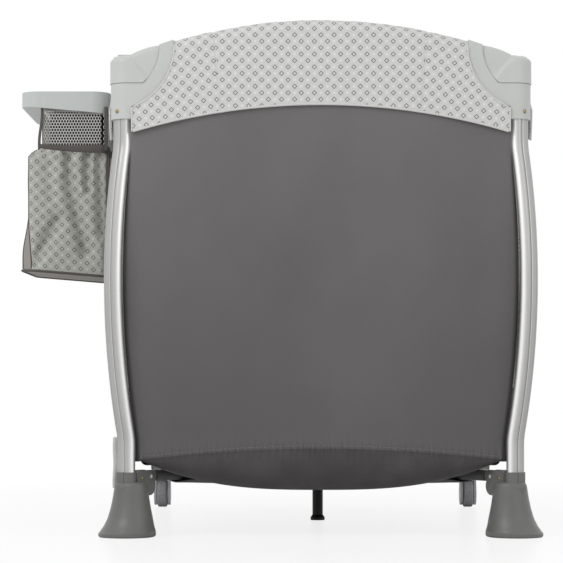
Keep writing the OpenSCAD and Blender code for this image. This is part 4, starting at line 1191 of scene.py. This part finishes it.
# A near-black sheet inside net and bag: painted shade for the shaded inside.
painted_shade_sheet = Finish("painted_shade_sheet", srgb(44, 42, 41), 0.85)
plain_weave = painted_shade_sheet.place.noise(700, 3.0)
painted_shade_sheet.relief(plain_weave, 0.3, 0.0005)
painted_shade_sheet.tint(plain_weave, (38, 36, 35), (50, 48, 47))
SHADE_SHEET_HALF, SHADE_SHEET_SHARE, shade_sheet_rows = 0.043, 0.86, 20
sleeve_x, sleeve_y = NET_X + plan_x * SHADE_SHEET_HALF / PLAN_X, BAG_Y + plan_y * SHADE_SHEET_SHARE
heights = np.linspace(BAG_LOW + 0.016, NET_TOP + 0.0005, shade_sheet_rows)
sleeve = np.concatenate([np.stack([sleeve_x, sleeve_y, np.full(count, z)], axis=-1) for z in heights])
shade_sheet = skin("organizer_shade_sheet", sleeve, weave(shade_sheet_rows, count, True), painted_shade_sheet)
solid(shade_sheet, CLOTH, 0.0)
hang(shade_sheet)

white_yarn = Finish("white_net_yarn", srgb(238, 237, 233), 0.7)
white_yarn.mottle(1200, 2.0, (228, 227, 222), (244, 243, 240))
NET_FINE, NET_FINE_STRAND = 0.0056, 0.00058
net_run = plan_run[-1] + plan_run[1]


def net_window(u, z):
    return (z > BAG_TOP - 0.010) & (z < NET_TOP + 0.006)


u, z, edges = hex_net(net_window, net_run - NET_FINE / 2, BAG_TOP - 0.008, NET_TOP + 0.006, NET_FINE)
round_x, round_y = (np.interp(u, np.append(plan_run, net_run), np.append(p, p[0])) for p in (plan_x, plan_y))
knots = np.stack([NET_X + round_x * NET_HALF / PLAN_X, BAG_Y + round_y * NET_SHARE, z], axis=-1)
fine_net = tube.made(
    "organizer_net_yarn", knots, edges, Radius=NET_FINE_STRAND, Sides=4, Finish=white_yarn
)
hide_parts("organizer_net")
hang(fine_net)

mouth = bag_ring(0)
middle = np.array([BAG_X, BAG_Y, 0])
thick = 0.0030 + 0.0022 * (1 + (mouth[:, 0] - BAG_X) / PLAN_X)
band_rows = []
for lift, out in ((1.0, 1.000), (0.5, 1.012), (-0.5, 1.014), (-1.0, 1.006)):
    row = middle + (mouth - middle) * np.array([out, out, 1])
    row[:, 2] += lift * thick
    band_rows.append(row)
elastic = skin("organizer_elastic", np.concatenate(band_rows), weave(4, count, True), binding)
face_out_from(elastic, (BAG_X, BAG_Y, BAG_TOP))
solid(elastic, 0.0018)
hang(elastic)


def bound(name, lines, radius):
    """A dark binding along one or more lines, as one piece."""
    edges, first = [], 0
    for line in lines:
        edges += [(first + i, first + j) for i, j in chain(line)]
        first += len(line)
    whole = tube.made(name, np.concatenate(lines), edges, Radius=radius, Sides=8, Finish=binding)
    return hang(whole)


def column(x, y):
    return int(np.argmin(np.hypot(plan_x - x, plan_y - y)))


hem_line = rings[bag_rows - 1][::2]
bound("organizer_bottom_piping", [np.concatenate([hem_line, hem_line[:1]])], 0.0022)
gusset_edges = [cy * y for cy in (-1, 1) for y in (GUSSET_NEAR, GUSSET_FAR)]
edges_at = [column(cx * PLAN_X, y) for cx in (-1, 1) for y in gusset_edges]
bound("organizer_gusset_piping", [points[col : bag_rows * count : count][2::2] for col in edges_at], 0.0013)
POST = ((0.0005, -0.010), (0.0016, -0.002), (0.001, 0.001), (-0.0028, 0.001))
heights = np.linspace(BAG_TOP - 0.006, NET_TOP + 0.010, 12)
for number, (cx, cy) in enumerate(CORNERS.values()):
    px, py = NET_X + cx * (NET_HALF - 0.001), BAG_Y + cy * (PLAN_Y * NET_SHARE + 0.001)
    lean = -0.005 * ease((NET_TOP - heights) / 0.05) * (cx < 0)
    strip = [(px + d + cx * dx, py + cy * dy, z) for z, d in zip(heights, lean) for dx, dy in POST]
    post = skin(f"organizer_net_binding_{number}", strip, weave(len(heights), len(POST)), binding)
    face_out_from(post, (NET_X, BAG_Y, 0.67))
    solid(post, 0.0014, 0.0)
    hang(post)

# Screws and rivets: brass-plated pan-head screws through the sleeves, domed rivets on the strut
# ears, and a light plastic cap over each strut pin.
screw = Nodes(
    "set_fasteners", Radius="NodeSocketFloat", Height="NodeSocketFloat", Finish="NodeSocketMaterial"
)
facing = screw.add("GeometryNodeInputNamedAttribute", {"data_type": "FLOAT_VECTOR"}, Name="facing")
turn = screw.add("FunctionNodeAlignEulerToVector", {"axis": "Z"}, Vector=facing.outputs[0])
dome = screw.add("GeometryNodeMeshUVSphere", Segments=16, Rings=10, Radius=screw.size("Radius"))
flat = screw.add("ShaderNodeCombineXYZ", X=1.0, Y=1.0)
share = screw.add("ShaderNodeMath", {"operation": "DIVIDE"})
screw.tree.links.new(screw.size("Height"), share.inputs[0])
screw.tree.links.new(screw.size("Radius"), share.inputs[1])
screw.tree.links.new(share.outputs[0], flat.inputs["Z"])
heads = screw.add(
    "GeometryNodeInstanceOnPoints",
    Points=screw.start.outputs[0],
    Instance=dome.outputs[0],
    Rotation=turn.outputs[0],
    Scale=flat.outputs[0],
)
round_heads = screw.add("GeometryNodeSetShadeSmooth", Geometry=heads.outputs[0])
screw.close(round_heads.outputs[0])

SLEEVE_OUT, SCREW_Z, EAR_OUT, HEAD_TALL = 0.01425, 0.682, 0.0103, 0.0014


def fastened(name, body, spots, radius, finish):
    places, ways = zip(*spots)
    piece = screw.made(name, places, [], ways, Radius=radius, Height=HEAD_TALL, Finish=finish)
    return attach(piece, body)


for corner, (sx, sy) in CORNERS.items():
    spots = [((sx * (LEG_X + 0.007), sy * (LEG_Y + SLEEVE_OUT), SCREW_Z), (sx * 0.55, sy * 0.83, 0))]
    fastened("sleeve_screws_" + corner, "leg_" + corner, spots, 0.0036, pin_brass)
    across = np.array([math.sin(STRUT_TURN) * -sx, math.cos(STRUT_TURN) * sy, 0])
    along = np.array([sx * math.cos(STRUT_TURN), sy * math.sin(STRUT_TURN), -0.09])
    pin = np.array(foot_pin(corner))
    for name, reach, radius, finish, slot in (
        ("ear_rivets_", 0.028, 0.0030, pin_brass, "pin_brass"),
        ("ear_caps_", 0.004, 0.0034, corner_plastic, "corner_plastic"),
    ):
        spots = [(tuple(pin + along * reach + across * k * EAR_OUT), tuple(across * k)) for k in (-1, 1)]
        fastened(name + corner, "leg_" + corner, spots, radius, finish)

# Studio: a plain pale floor, soft light all round with a broad key from the upper left, and the
# camera low in front of the near end, as the photograph was taken.
floor_paint = bpy.data.materials.new("studio_floor")
floor_paint.use_nodes = True
tree = floor_paint.node_tree
tree.nodes.clear()
rays = Wire(tree, tree.nodes.new("ShaderNodeLightPath").outputs["Is Camera Ray"])
paint = {"Base Color": (0.93, 0.93, 0.93, 1), "Roughness": 0.25, "Specular IOR Level": 0.3}
matt = rays.node("ShaderNodeBsdfPrincipled", None, paint)
glow = rays.node("ShaderNodeEmission", None, {"Color": (1, 1, 1, 1), "Strength": 1.0})
ground = Wire(tree, tree.nodes.new("ShaderNodeTexCoord").outputs["Object"])
away = ground.node("ShaderNodeVectorMath", {"operation": "LENGTH"}, {0: ground}, 1)
glowing = rays * (away.step(0.7, 2.2) * 0.18 + 0.82)
mixed = rays.node("ShaderNodeMixShader", None, {0: glowing, 1: matt, 2: glow})
end = tree.nodes.new("ShaderNodeOutputMaterial")
tree.links.new(mixed.socket, end.inputs["Surface"])
bpy.ops.mesh.primitive_plane_add(size=40, location=(0, 0, 0))
floor = bpy.context.object
floor.name = "studio_floor"
floor.data.materials.append(floor_paint)

world = bpy.data.worlds.new("studio")
bpy.context.scene.world = world
world.use_nodes = True
sky = world.node_tree
sky.nodes.clear()
path_rays = sky.nodes.new("ShaderNodeLightPath")
seen = Wire(sky, path_rays.outputs["Is Camera Ray"])
for ray in ("Is Glossy Ray", "Is Transmission Ray"):
    seen = seen.math("MAXIMUM", Wire(sky, path_rays.outputs[ray]))
light = seen.node("ShaderNodeBackground", None, {"Color": (1, 1, 1, 1), "Strength": seen * 0.32 + 0.68})
out = sky.nodes.new("ShaderNodeOutputWorld")
sky.links.new(light.socket, out.inputs["Surface"])


def lamp(name, place, aim, size, power):
    data = bpy.data.lights.new(name, "AREA")
    data.shape, data.size, data.energy = "SQUARE", size, power
    made = bpy.data.objects.new(name, data)
    made.location = place
    made.rotation_euler = (Vector(aim) - Vector(place)).to_track_quat("-Z", "Y").to_euler()
    bpy.context.scene.collection.objects.link(made)


lamp("key", (-1.7, -2.4, 2.5), (0, 0, 0.4), 1.6, 30)
lamp("fill", (2.4, -2.6, 1.6), (0, 0, 0.4), 1.8, 7)

camera = bpy.data.cameras.new("camera")
camera.sensor_width, camera.lens = 36.0, 135.5
camera.shift_x, camera.shift_y = -0.0234, 0.2052
eye = bpy.data.objects.new("camera", camera)
eye.location = (-0.042, -3.88, 0.225)
eye.rotation_euler = (math.pi / 2, 0, 0)
bpy.context.scene.collection.objects.link(eye)
bpy.context.scene.camera = eye
bpy.context.scene.view_settings.view_transform = "Standard"
